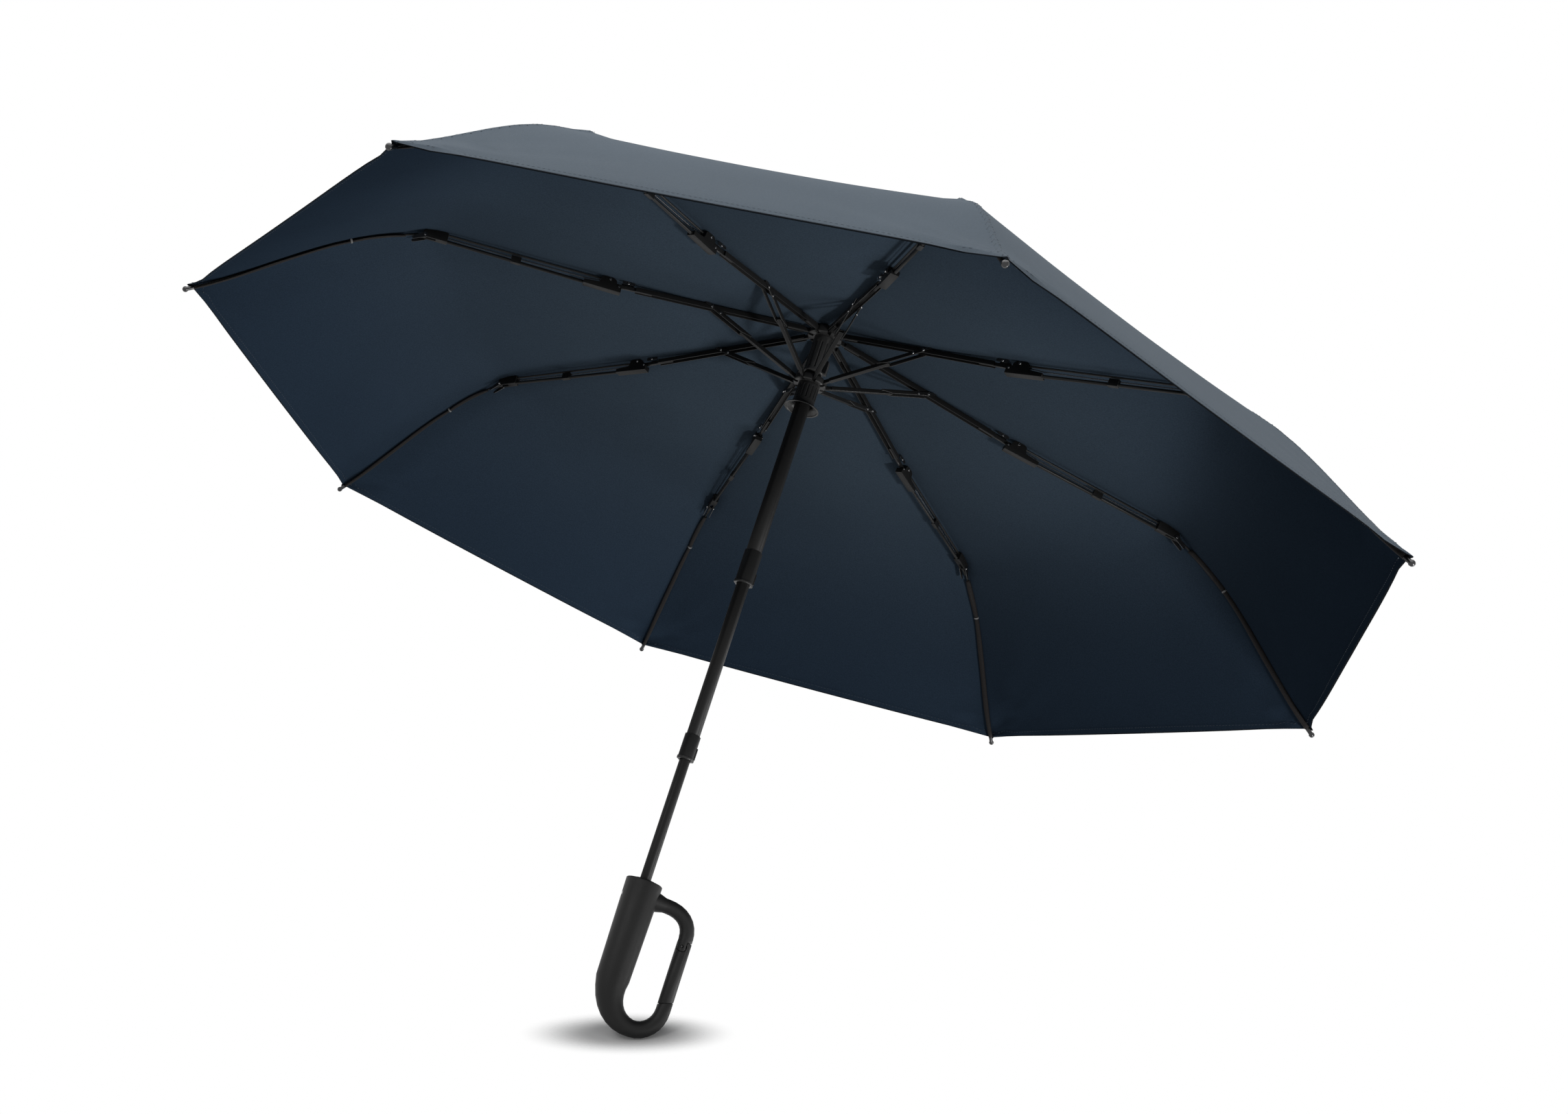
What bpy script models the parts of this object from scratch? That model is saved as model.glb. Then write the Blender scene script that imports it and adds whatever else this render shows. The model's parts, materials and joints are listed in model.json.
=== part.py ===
"""Three-fold automatic umbrella, open: eight hinged ribs, a telescopic hexagonal shaft and a
grip with a sprung carabiner gate. Metres, +Z up along the shaft, origin in the middle of the grip,
+X towards the carabiner. Run it in Blender 4.5."""

import math

import bmesh
import bpy
import numpy as np
from mathutils import Matrix, Vector

# Clearances
CLEARANCE = 0.0003
OVERRUN = 0.002
WELD_DISTANCE = 0.000003
RIB_COUNT = 8

# Grip and carabiner
GRIP_TOP = 0.060
GRIP_LENGTH = 0.118
GRIP_STRAIGHT = 0.080
GRIP_TOP_RADIUS = 0.0152
GRIP_LOW_RADIUS = 0.0136
GRIP_EDGE = 0.0008
GRIP_BORE_DEPTH = 0.045
GRIP_SIDES = 24
HOOK_REACH = 0.0463
HOOK_RADIUS = 0.0060
HOOK_BOTTOM_RADIUS = 0.0068
HOOK_UPTURN = 0.090
HOOK_MIDDLE_SHARE = 0.56
HOOK_TAPER_POWER = 0.8
GRIP_BEND_SHARES = (0.62, 0.42)
HOOK_BEND_SHARES = (0.55, 0.45)
HOOK_STEPS = 8
ARM_DROP = 0.0122
ARM_ROOT_RADIUS = 0.0082
ARM_STRAIGHT = 0.024
ARM_BEND_END = 0.032
ARM_ROOT_SHARES = (0.35, 0.9, 1.15, 1.4)
ARM_BEND_SHARES = (0.6, 0.35)
GATE_TOP = 0.0346
GATE_SHOULDER = 0.0428
GATE_END = 0.0838
GATE_END_SLOPE = math.radians(18.0)
GATE_SPLIT_OFFSET = 0.0010
GATE_GAP = 0.0005
GATE_PIN_DROP = 0.0385
GATE_PIN_OFFSET = 0.0022
GATE_PIN_RADIUS = 0.0010
GATE_TONGUE = 0.0040
GATE_SLOT_TOP = 0.0310
COLLAR_RADIUS = 0.0095
COLLAR_RISE = 0.0012
COLLAR_DEPTH = 0.0050
SCREW_DROP = 0.0145
SCREW_RADIUS = 0.0016
SCREW_LENGTH = 0.0060
SCREW_SLOT = 0.0004
BUTTON_DROP = 0.0240
BUTTON_WIDTH = 0.0110
BUTTON_LENGTH = 0.0180
BUTTON_DEPTH = 0.0040
BUTTON_PROUD = 0.0012
BUTTON_TRAVEL = 0.0025
BUTTON_SPRING_RADIUS = 0.0022
BUTTON_SPRING_WIRE = 0.0003
BUTTON_SPRING_LENGTH = 0.0025
BUTTON_SPRING_TURNS = 3
BUTTON_SPRING_STEPS = 10

# Telescopic shaft: width across flats and wall of each hexagonal tube
LOWER_FLATS = 0.0086
LOWER_WALL = 0.0006
MIDDLE_FLATS = 0.0106
MIDDLE_WALL = 0.0006
UPPER_FLATS = 0.0126
UPPER_WALL = 0.0006
TUBE_EDGE = 0.0008
NOTCH_HEIGHT = 0.575
UPPER_END_DROP = 0.218
UPPER_SLEEVE_LENGTH = 0.031
MIDDLE_END_DROP = 0.388
LOWER_SLEEVE_LENGTH = 0.022
SLEEVE_WALL = 0.0009
SLEEVE_SEAT = 0.010
SLEEVE_LIP = 0.0005
SLEEVE_LIP_LENGTH = 0.0025
TUBE_OVERLAP = 0.060
CLIP_WIDTH = 0.0030
CLIP_LENGTH = 0.0100
CLIP_PROUD = 0.0014
LIFT_SPRING_RADIUS = 0.0027
LIFT_SPRING_WIRE = 0.0004
LIFT_SPRING_TURNS = 18
LIFT_SPRING_STEPS = 7
LIFT_SPRING_TOP_GAP = 0.004

# Crown: the notch that holds the ribs, its barrel and the cap over the cloth
NOTCH_PIVOT_RADIUS = 0.0130
NOTCH_RADIUS = 0.0158
NOTCH_THICKNESS = 0.0080
NOTCH_SLOT = 0.0034
NOTCH_SLOT_ROOT = 0.0105
BARREL_RADIUS = 0.0092
BARREL_LENGTH = 0.0360
BARREL_FLUTES = 12
BARREL_FLUTE_RADIUS = 0.0009
BARREL_CATCH_WIDTH = 0.0070
BARREL_CATCH_LENGTH = 0.0120
BARREL_CATCH_PROUD = 0.0022
CAP_RADIUS = 0.0170
CAP_HEIGHT = 0.0110
CAP_STEM_RADIUS = 0.0072
CAP_KNOB_RADIUS = 0.0060
CAP_RISE = 0.0062
CAP_RADIUS_SHARES = (0.94, 1.0, 0.93, 0.66, 0.40)
CAP_HEIGHT_SHARES = (0.0, 0.12, 0.42, 0.66, 0.74)
CAP_KNOB_SHARES = (0.80, 0.92)
CAP_CREST_SHARE = 0.7

# Runner that slides on the upper tube
RUNNER_PIVOT_RADIUS = 0.0130
RUNNER_RING_RADIUS = 0.0150
RUNNER_RING_HEIGHT = 0.0062
RUNNER_NECK_RADIUS = 0.0098
RUNNER_BELL_RADIUS = 0.0160
RUNNER_BELL_DROP = 0.0270
RUNNER_BELL_FLARE = 0.0075
RUNNER_BELL_WALL = 0.0014
RUNNER_RIBS = 16
RUNNER_RIB_RADIUS = 0.0010
RUNNER_SLOT_ROOT = 0.0107
BELL_RADIUS_SHARES = (0.0, 0.12, 0.40, 0.94, 1.0)
BELL_HEIGHT_SHARES = (1.0, 0.55, 0.24, 0.10, 0.0)

# Rib linkage, measured along each member from its pivot
INNER_LENGTH = 0.188
MIDDLE_LENGTH = 0.167
OUTER_LENGTH = 0.210
STRETCHER_LENGTH = 0.098
STRETCHER_PIVOT = 0.094
INNER_DROOP = math.radians(10.1)
MIDDLE_DROOP = math.radians(7.2)
OUTER_DROOP = math.radians(38.7)

INNER_WIDTH = 0.0056
INNER_DEPTH = 0.0042
INNER_WALL = 0.0006
INNER_CHANNEL_START = 0.0075
INNER_CHANNEL_GAP = 0.0130
EYE_THICKNESS = 0.0022
EYE_RADIUS = 0.0019
EYE_STEPS = 6
PIVOT_PIN_RADIUS = 0.0008
PIVOT_WIRE_RADIUS = 0.0007
PIVOT_SIDES = 6
TURNED_SIDES = 22
PIN_SIDES = 12
KNEE_RISE = 0.0036
TAB_NECK = 0.0042
TAB_EYE_START = math.radians(150)
TAB_EYE_END = math.radians(60)

STRETCHER_WIDTH = 0.0038
STRETCHER_DEPTH = 0.0036
STRETCHER_WALL = 0.0006
STRETCHER_FORK = 0.034
STRETCHER_FORK_ROOT = 0.010
FORK_CHEEK = 0.0008
FORK_FLOOR = 0.0009

ROD_RADIUS = 0.0009
LOWER_ROD_RADIUS = 0.0015
ROD_SIDES = 8
ROD_PHASE = math.pi / ROD_SIDES
KNUCKLE_WIDTH = 0.0070
KNUCKLE_DROP = 0.0102
KNUCKLE_BACK = 0.0110
KNUCKLE_REACH = 0.0230
KNUCKLE_TOP = 0.0022
KNUCKLE_BACK_SHARES = (1.0, 0.62, 0.52, 0.33)
KNUCKLE_HEEL_SHARES = (0.5, 0.42, 0.0, -0.17)
KNUCKLE_SADDLE_SHARES = (0.22, 0.34, 0.36, 0.41)
KNUCKLE_SCALLOP_SHARES = (-0.2, -0.09, 0.22, 0.47)
KNUCKLE_NOSE_SHARES = (0.60, 0.95)
OUTER_KNUCKLE_SHARE = 0.9
LOWER_ROD_DROP = 0.0078
OUTER_PIVOT_DROP = 0.0060
OUTER_ROD_RISE = 0.0030
OUTER_KNUCKLE_LENGTH = 0.0200
OUTER_FORK_DEPTH = 0.0100
OUTER_ROD_RADIUS = 0.0011
OUTER_ROD_SIDES = 6
OUTER_ROD_PHASE = math.pi / OUTER_ROD_SIDES
OUTER_BOW = 0.0085
OUTER_NECK = 0.0090
OUTER_EYE_START = math.radians(130)
CLIP_PLACE = 0.085
ROD_CLIP_LENGTH = 0.0088
ROD_CLIP_HEIGHT = 0.0064

TIP_BALL_RADIUS = 0.0026
TIP_SOCKET_RADIUS = 0.0019
TIP_SOCKET_LENGTH = 0.0070
TIP_BALL_START = math.radians(135)
TIP_STEPS = 4

# Canopy
CLOTH = 0.0005
CLOTH_LIFT = 0.0009
PANEL_SAG = 0.0060
RIM_HOLLOW = 0.0085
PANEL_STEPS = 6
INNER_CLOTH_SHARES = (0.30, 0.62)
MIDDLE_CLOTH_SHARES = (0.33, 0.66)
OUTER_CLOTH_SHARES = (0.28, 0.50, 0.74)
BOW_POWER = 2
CHORD_POWER = 0.5
SAG_POWER = 2
HOLLOW_POWER = 6
CLOTH_HOLE_MARGIN = 0.0006

SMOOTH_ANGLE = math.radians(35.0)

# Colours as linear RGB
BLACK_PAINT = (0.020, 0.020, 0.020)
BLACK_PLASTIC = (0.026, 0.026, 0.026)
GRIP_BLACK = (0.021, 0.021, 0.021)
STEEL = (0.30, 0.30, 0.31)
NAVY = (0.060, 0.078, 0.102)

# Gloss of each material, as roughness and metallic
PAINT_GLOSS = (0.35, 0.6)
PLASTIC_GLOSS = (0.5, 0.0)
GRIP_GLOSS = (0.62, 0.0)
STEEL_GLOSS = (0.3, 1.0)
CLOTH_GLOSS = (0.85, 0.0)


def clear_scene():
    for obj in list(bpy.data.objects):
        bpy.data.objects.remove(obj, do_unlink=True)


def make_material(name, colour, gloss):
    material = bpy.data.materials.new(name)
    material.use_nodes = True
    shader = material.node_tree.nodes["Principled BSDF"]
    shader.inputs["Base Color"].default_value = (*colour, 1.0)
    shader.inputs["Roughness"].default_value = gloss[0]
    shader.inputs["Metallic"].default_value = gloss[1]
    return material


def new_object(name, mesh):
    obj = bpy.data.objects.new(name, mesh)
    bpy.context.scene.collection.objects.link(obj)
    return obj


def mesh_from(bm, name):
    bmesh.ops.recalc_face_normals(bm, faces=bm.faces)
    mesh = bpy.data.meshes.new(name)
    bm.to_mesh(mesh)
    bm.free()
    return mesh


def evaluated_mesh(obj, name):
    """The object's mesh with its modifiers, or its bevel where it is a curve, applied."""
    bpy.context.view_layer.update()
    graph = bpy.context.evaluated_depsgraph_get()
    mesh = bpy.data.meshes.new_from_object(obj.evaluated_get(graph), depsgraph=graph)
    mesh.name = name
    mesh.transform(obj.matrix_world)
    return mesh


def tube_mesh(name, points, radii, sides):
    """A round tube with closed ends along the points, each with its own radius."""
    curve = bpy.data.curves.new(name, "CURVE")
    curve.dimensions = "3D"
    curve.bevel_depth = max(radii)
    curve.bevel_resolution = sides // 2 - 2
    curve.use_fill_caps = True
    spline = curve.splines.new("POLY")
    spline.points.add(len(points) - 1)
    for target, point, radius in zip(spline.points, points, radii):
        target.co = (*point, 1.0)
        target.radius = radius / max(radii)
    guide = new_object(name, curve)
    mesh = evaluated_mesh(guide, name)
    bpy.data.objects.remove(guide, do_unlink=True)
    bm = bmesh.new()
    bm.from_mesh(mesh)
    bmesh.ops.remove_doubles(bm, verts=bm.verts, dist=WELD_DISTANCE)
    return mesh_from(bm, name)


def plate_mesh(name, outline, thickness, middle=0.0):
    """An outline in the XZ plane, made as thick along Y as asked, about the given middle."""
    bm = bmesh.new()
    verts = [bm.verts.new((x, middle - thickness / 2, z)) for x, z in outline]
    face = bm.faces.new(verts)
    grown = bmesh.ops.extrude_face_region(bm, geom=[face])
    moved = [item for item in grown["geom"] if isinstance(item, bmesh.types.BMVert)]
    bmesh.ops.translate(bm, verts=moved, vec=(0, thickness, 0))
    return mesh_from(bm, name)


def beam_mesh(name, section, start, end):
    """A section in the YZ plane, run along X from start to end."""
    bm = bmesh.new()
    face = bm.faces.new([bm.verts.new((start, y, z)) for y, z in section])
    grown = bmesh.ops.extrude_face_region(bm, geom=[face])
    moved = [item for item in grown["geom"] if isinstance(item, bmesh.types.BMVert)]
    bmesh.ops.translate(bm, verts=moved, vec=(end - start, 0, 0))
    return mesh_from(bm, name)


def box_mesh(name, low, high):
    bm = bmesh.new()
    bmesh.ops.create_cube(bm, size=1)
    size = Vector(high) - Vector(low)
    middle = (Vector(high) + Vector(low)) / 2
    bmesh.ops.scale(bm, verts=bm.verts, vec=size)
    bmesh.ops.translate(bm, verts=bm.verts, vec=middle)
    return mesh_from(bm, name)


def turned_mesh(name, profile, sides):
    """A closed solid turned about Z. Its profile of (radius, height) runs round the section."""
    bm = bmesh.new()
    verts = [bm.verts.new((radius, 0, height)) for radius, height in profile]
    ring = list(zip(verts, verts[1:]))
    if min(radius for radius, _ in profile) > 0:
        ring.append((verts[-1], verts[0]))
    edges = [bm.edges.new(pair) for pair in ring]
    bmesh.ops.spin(
        bm,
        geom=verts + edges,
        cent=(0, 0, 0),
        axis=(0, 0, 1),
        angle=2 * math.pi,
        steps=sides,
        use_merge=True,
    )
    bmesh.ops.remove_doubles(bm, verts=bm.verts, dist=WELD_DISTANCE)
    return mesh_from(bm, name)


def rod_mesh(name, radius, start, end, sides, phase=0.0):
    """A round or many-sided bar between two points."""
    bm = bmesh.new()
    run = Vector(end) - Vector(start)
    turn = run.to_track_quat("Z", "Y").to_matrix().to_4x4()
    place = Matrix.Translation((Vector(start) + Vector(end)) / 2) @ turn
    bmesh.ops.create_cone(
        bm,
        cap_ends=True,
        segments=sides,
        radius1=radius,
        radius2=radius,
        depth=run.length,
        matrix=place @ Matrix.Rotation(phase, 4, "Z"),
    )
    return mesh_from(bm, name)


def bent_rod_mesh(name, radius, points, sides, phase=0.0):
    """A many-sided bar through points (x, z), each section square to X."""
    bm = bmesh.new()
    place = Matrix.Translation((points[0][0], 0, points[0][1])) @ Matrix.Rotation(math.pi / 2, 4, "Y")
    turn = Matrix.Rotation(phase, 4, "Z")
    bmesh.ops.create_circle(bm, cap_ends=True, segments=sides, radius=radius, matrix=place @ turn)
    bm.faces.ensure_lookup_table()
    front = bm.faces[0]
    for before, after in zip(points, points[1:]):
        behind = front
        grown = bmesh.ops.extrude_face_region(bm, geom=[behind])["geom"]
        front = next(item for item in grown if isinstance(item, bmesh.types.BMFace))
        if before != points[0]:
            bmesh.ops.delete(bm, geom=[behind], context="FACES_ONLY")
        step = (after[0] - before[0], 0, after[1] - before[1])
        bmesh.ops.translate(bm, verts=list(front.verts), vec=step)
    bmesh.ops.recalc_face_normals(bm, faces=bm.faces)
    return mesh_from(bm, name)


def combine(name, base, others, operation):
    """One mesh from Booleans of the others on the base."""
    obj = new_object(name, base)
    helpers = []
    for index, mesh in enumerate(others):
        helper = new_object(f"{name}_helper_{index}", mesh)
        helper.hide_render = True
        helper.display_type = "WIRE"
        helpers.append(helper)
        modifier = obj.modifiers.new(f"step_{index}", "BOOLEAN")
        modifier.operation = operation
        modifier.object = helper
    mesh = evaluated_mesh(obj, name)
    for helper in helpers:
        bpy.data.objects.remove(helper, do_unlink=True)
    bpy.data.objects.remove(obj, do_unlink=True)
    return mesh


def union(name, base, *others):
    return combine(name, base, others, "UNION")


def cut(name, base, *others):
    return combine(name, base, others, "DIFFERENCE")


def place_piece(name, mesh, material, pivot=(0, 0, 0), azimuth=0.0, smooth=True):
    """Makes an object whose origin is its pivot. The mesh is drawn where the piece lies at azimuth 0."""
    if mesh.users == 0:
        mesh.transform(Matrix.Translation(-Vector(pivot)))
        mesh.materials.clear()
        mesh.materials.append(material)
        if smooth:
            mesh.shade_smooth()
            mesh.set_sharp_from_angle(angle=SMOOTH_ANGLE)
    obj = new_object(name, mesh)
    obj.location = Matrix.Rotation(azimuth, 3, "Z") @ Vector(pivot)
    obj.rotation_euler = (0, 0, azimuth)
    return obj


def bezier(start, first, second, end, steps):
    """Points of a cubic curve, without its first one."""
    found = []
    for step in range(1, steps + 1):
        t = step / steps
        s = 1 - t
        ends = s**3 * Vector(start) + t**3 * Vector(end)
        found.append(ends + 3 * s * s * t * Vector(first) + 3 * s * t * t * Vector(second))
    return found


def grip_point(reach, drop):
    """A point in the carabiner's plane: reach along +X from the shaft, drop below the grip's top."""
    return Vector((reach, 0, GRIP_TOP - drop))


def hex_outline(flats, cut_back):
    """A hexagon with its corners cut, as (x, y) points. Two of its flats face +Y and -Y."""
    corner = flats / math.sqrt(3)
    points = []
    for side in range(6):
        angle = math.radians(60 * side)
        for turn in (-1, 1):
            edge = Vector((math.cos(angle), math.sin(angle))) * corner
            along = Vector((-math.sin(angle), math.cos(angle))) * turn * cut_back
            points.append(edge - edge.normalized() * cut_back * math.tan(math.radians(30)) + along)
    return points


def prism_mesh(name, outline, low, high):
    bm = bmesh.new()
    face = bm.faces.new([bm.verts.new((x, y, low)) for x, y in outline])
    grown = bmesh.ops.extrude_face_region(bm, geom=[face])
    moved = [item for item in grown["geom"] if isinstance(item, bmesh.types.BMVert)]
    bmesh.ops.translate(bm, verts=moved, vec=(0, 0, high - low))
    return mesh_from(bm, name)


def hex_tube(name, flats, wall, low, high):
    """A hexagonal tube, open at both ends."""
    inner_cut = max(TUBE_EDGE - wall / 2, wall / 2)
    outer = prism_mesh(name, hex_outline(flats, TUBE_EDGE), low, high)
    inner = prism_mesh(name, hex_outline(flats - 2 * wall, inner_cut), low - OVERRUN, high + OVERRUN)
    return cut(name, outer, inner)


def coil_points(radius, turns, low, high, steps):
    points = []
    for step in range(turns * steps + 1):
        angle = 2 * math.pi * step / steps
        height = low + (high - low) * step / (turns * steps)
        points.append((radius * math.cos(angle), radius * math.sin(angle), height))
    return points


def least_coil_gap(points, wire_radius, steps):
    """The least gap between one turn of a coil and the next."""
    cloud = np.array(points)
    gaps = np.linalg.norm(cloud[steps:] - cloud[:-steps], axis=1)
    return float(gaps.min() - 2 * wire_radius)


# Grip


def grip_mesh():
    """The grip's body, which bends under and thins into the fixed half of the carabiner."""
    straight = [0.0, GRIP_EDGE, GRIP_STRAIGHT / 2, GRIP_STRAIGHT]
    points = [grip_point(0, drop) for drop in straight]
    radii = [GRIP_TOP_RADIUS - GRIP_EDGE, GRIP_TOP_RADIUS]
    radii += [(GRIP_TOP_RADIUS + GRIP_LOW_RADIUS) / 2, GRIP_LOW_RADIUS]
    bottom = GRIP_LENGTH - HOOK_BOTTOM_RADIUS
    middle = HOOK_REACH * HOOK_MIDDLE_SHARE
    down_share, in_share = GRIP_BEND_SHARES
    points += bezier(
        points[-1],
        grip_point(0, GRIP_STRAIGHT + (bottom - GRIP_STRAIGHT) * down_share),
        grip_point(middle * in_share, bottom),
        grip_point(middle, bottom),
        HOOK_STEPS,
    )
    thinning = HOOK_BOTTOM_RADIUS - GRIP_LOW_RADIUS
    for step in range(1, HOOK_STEPS + 1):
        radii.append(GRIP_LOW_RADIUS + thinning * (step / HOOK_STEPS) ** HOOK_TAPER_POWER)
    out_share, up_share = HOOK_BEND_SHARES
    points += bezier(
        points[-1],
        grip_point(middle + (HOOK_REACH - middle) * out_share, bottom),
        grip_point(HOOK_REACH, bottom - (bottom - HOOK_UPTURN) * up_share),
        grip_point(HOOK_REACH, HOOK_UPTURN),
        HOOK_STEPS,
    )
    thinning = HOOK_RADIUS - HOOK_BOTTOM_RADIUS
    for step in range(1, HOOK_STEPS + 1):
        radii.append(HOOK_BOTTOM_RADIUS + thinning * step / HOOK_STEPS)
    points.append(grip_point(HOOK_REACH, GATE_END - HOOK_RADIUS))
    radii.append(HOOK_RADIUS)
    return tube_mesh("grip_bar", points, radii, GRIP_SIDES)


def arm_mesh():
    """The arm that leaves the grip below its top and turns down to the gate's pin."""
    points = [grip_point(GRIP_TOP_RADIUS * share, ARM_DROP) for share in ARM_ROOT_SHARES]
    points.append(grip_point(ARM_STRAIGHT, ARM_DROP))
    radii = [ARM_ROOT_RADIUS, ARM_ROOT_RADIUS, (ARM_ROOT_RADIUS + HOOK_RADIUS) / 2, HOOK_RADIUS, HOOK_RADIUS]
    out_share, down_share = ARM_BEND_SHARES
    points += bezier(
        points[-1],
        grip_point(ARM_STRAIGHT + (HOOK_REACH - ARM_STRAIGHT) * out_share, ARM_DROP),
        grip_point(HOOK_REACH, ARM_DROP + (ARM_BEND_END - ARM_DROP) * down_share),
        grip_point(HOOK_REACH, ARM_BEND_END),
        HOOK_STEPS,
    )
    points.append(grip_point(HOOK_REACH, GATE_SHOULDER))
    radii += [HOOK_RADIUS] * (HOOK_STEPS + 1)
    return tube_mesh("grip_arm", points, radii, GRIP_SIDES - 4)


def lug_cutter(pin_centre):
    """What to take off the arm's end, to round it about the pin so that the gate can turn."""
    radius = GATE_SHOULDER - GATE_PIN_DROP - GATE_GAP
    wide = 3 * HOOK_RADIUS
    across = Vector((0, 2 * wide, 0))
    low = pin_centre - Vector((wide, wide, wide))
    block = box_mesh("lug_block", low, pin_centre + Vector((wide, wide, 0)))
    rounding = rod_mesh("lug_round", radius, pin_centre - across, pin_centre + across, GRIP_SIDES)
    return cut("lug_cutter", block, rounding)


def gate_end_cutter(name, keep_above):
    """A slanted block whose face is the seam between the gate's free end and the hook."""
    reach = 4 * HOOK_RADIUS
    near, far = (0.0, -reach) if keep_above else (-GATE_GAP, reach)
    mesh = box_mesh(name, (-reach, -reach, min(near, far)), (reach, reach, max(near, far)))
    mesh.transform(Matrix.Rotation(-GATE_END_SLOPE, 4, "Y"))
    mesh.transform(Matrix.Translation(grip_point(HOOK_REACH, GATE_END)))
    return mesh


def make_grip(plastic, steel):
    lower_corner = LOWER_FLATS / math.sqrt(3)
    bar = cut("grip_bar_cut", grip_mesh(), gate_end_cutter("hook_end", False))
    pin_centre = grip_point(HOOK_REACH - GATE_PIN_OFFSET, GATE_PIN_DROP)
    arm = cut("grip_arm", arm_mesh(), lug_cutter(pin_centre))
    body = union("grip_body", bar, arm)
    split = HOOK_REACH + GATE_SPLIT_OFFSET
    wide = 3 * HOOK_RADIUS
    step = box_mesh(
        "arm_step",
        (split, -wide, GRIP_TOP - wide - GATE_SHOULDER),
        (split + wide, wide, GRIP_TOP - GATE_TOP + GATE_GAP),
    )
    slot = box_mesh(
        "arm_slot",
        (HOOK_REACH - wide, -GATE_TONGUE / 2 - CLEARANCE, GRIP_TOP - wide - GATE_SHOULDER),
        (HOOK_REACH + wide, GATE_TONGUE / 2 + CLEARANCE, GRIP_TOP - GATE_SLOT_TOP),
    )
    across = Vector((0, wide, 0))
    hole_radius = GATE_PIN_RADIUS + CLEARANCE
    pin_hole = rod_mesh("pin_hole", hole_radius, pin_centre - across, pin_centre + across, PIN_SIDES)
    bore = rod_mesh(
        "grip_bore",
        lower_corner + CLEARANCE,
        grip_point(0, GRIP_BORE_DEPTH + CLEARANCE),
        grip_point(0, -OVERRUN),
        GRIP_SIDES,
    )
    seat = rod_mesh(
        "collar_seat",
        COLLAR_RADIUS + CLEARANCE,
        grip_point(0, COLLAR_DEPTH + CLEARANCE),
        grip_point(0, -OVERRUN),
        GRIP_SIDES,
    )
    screw_end = -GRIP_TOP_RADIUS + SCREW_LENGTH
    screw_hole = rod_mesh(
        "screw_hole",
        SCREW_RADIUS + CLEARANCE,
        grip_point(screw_end + CLEARANCE, SCREW_DROP),
        grip_point(-GRIP_TOP_RADIUS - OVERRUN, SCREW_DROP),
        PIN_SIDES,
    )
    behind = BUTTON_TRAVEL + BUTTON_SPRING_LENGTH
    pocket = button_mesh("button_pocket", CLEARANCE, OVERRUN + BUTTON_PROUD, behind)
    body = cut("grip", body, step, slot, pin_hole, bore, seat, screw_hole, pocket)
    place_piece("grip", body, plastic)

    collar = turned_mesh(
        "grip_collar",
        [
            (lower_corner + CLEARANCE, GRIP_TOP - COLLAR_DEPTH),
            (COLLAR_RADIUS, GRIP_TOP - COLLAR_DEPTH),
            (COLLAR_RADIUS, GRIP_TOP + COLLAR_RISE - GRIP_EDGE / 2),
            (COLLAR_RADIUS - GRIP_EDGE / 2, GRIP_TOP + COLLAR_RISE),
            (lower_corner + CLEARANCE, GRIP_TOP + COLLAR_RISE),
        ],
        GRIP_SIDES,
    )
    place_piece("grip_collar", collar, plastic)

    head = grip_point(-GRIP_TOP_RADIUS + SCREW_SLOT, SCREW_DROP)
    screw = rod_mesh("grip_screw", SCREW_RADIUS, grip_point(screw_end, SCREW_DROP), head, PIN_SIDES)
    slot_low = head - Vector((SCREW_SLOT, SCREW_SLOT / 2, 2 * SCREW_RADIUS))
    slot_high = head + Vector((OVERRUN, SCREW_SLOT / 2, 2 * SCREW_RADIUS))
    place_piece("grip_screw", cut("grip_screw", screw, box_mesh("screw_slot", slot_low, slot_high)), steel)

    half_pin = Vector((0, math.sqrt(HOOK_RADIUS**2 - GATE_PIN_OFFSET**2) - GRIP_EDGE, 0))
    pin = rod_mesh("gate_pin", GATE_PIN_RADIUS, pin_centre - half_pin, pin_centre + half_pin, PIN_SIDES)
    place_piece("gate_pin", pin, steel)
    make_gate(plastic, steel, split, pin_centre)
    make_button(plastic, steel)


def make_gate(plastic, steel, split, pin_centre):
    """The straight bar that closes the carabiner. Its tongue turns on the pin inside the arm's slot."""
    wide = 3 * HOOK_RADIUS
    bar = rod_mesh(
        "gate_bar",
        HOOK_RADIUS,
        grip_point(HOOK_REACH, GATE_END + HOOK_RADIUS),
        grip_point(HOOK_REACH, GATE_TOP),
        GRIP_SIDES,
    )
    turn_radius = GATE_SHOULDER - GATE_PIN_DROP
    cheek_low = pin_centre.z - turn_radius * math.cos(math.radians(45))
    cutters = [gate_end_cutter("gate_end", True)]
    for side in (-1, 1):
        near = Vector((0, side * GATE_TONGUE / 2, 0))
        far = Vector((0, side * wide, 0))
        cutters.append(
            box_mesh(
                f"gate_cheek_{side}",
                (HOOK_REACH - wide, min(near.y, far.y), cheek_low),
                (split + GATE_GAP, max(near.y, far.y), GRIP_TOP),
            )
        )
        ends = (pin_centre + near, pin_centre + far)
        cutters.append(rod_mesh(f"gate_round_{side}", turn_radius, *ends, GRIP_SIDES))
    across = Vector((0, wide, 0))
    hole_radius = GATE_PIN_RADIUS + CLEARANCE
    cutters.append(rod_mesh("gate_hole", hole_radius, pin_centre - across, pin_centre + across, PIN_SIDES))
    gate = cut("gate", bar, *cutters)
    place_piece("gate", gate, plastic, pivot=pin_centre)


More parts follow.
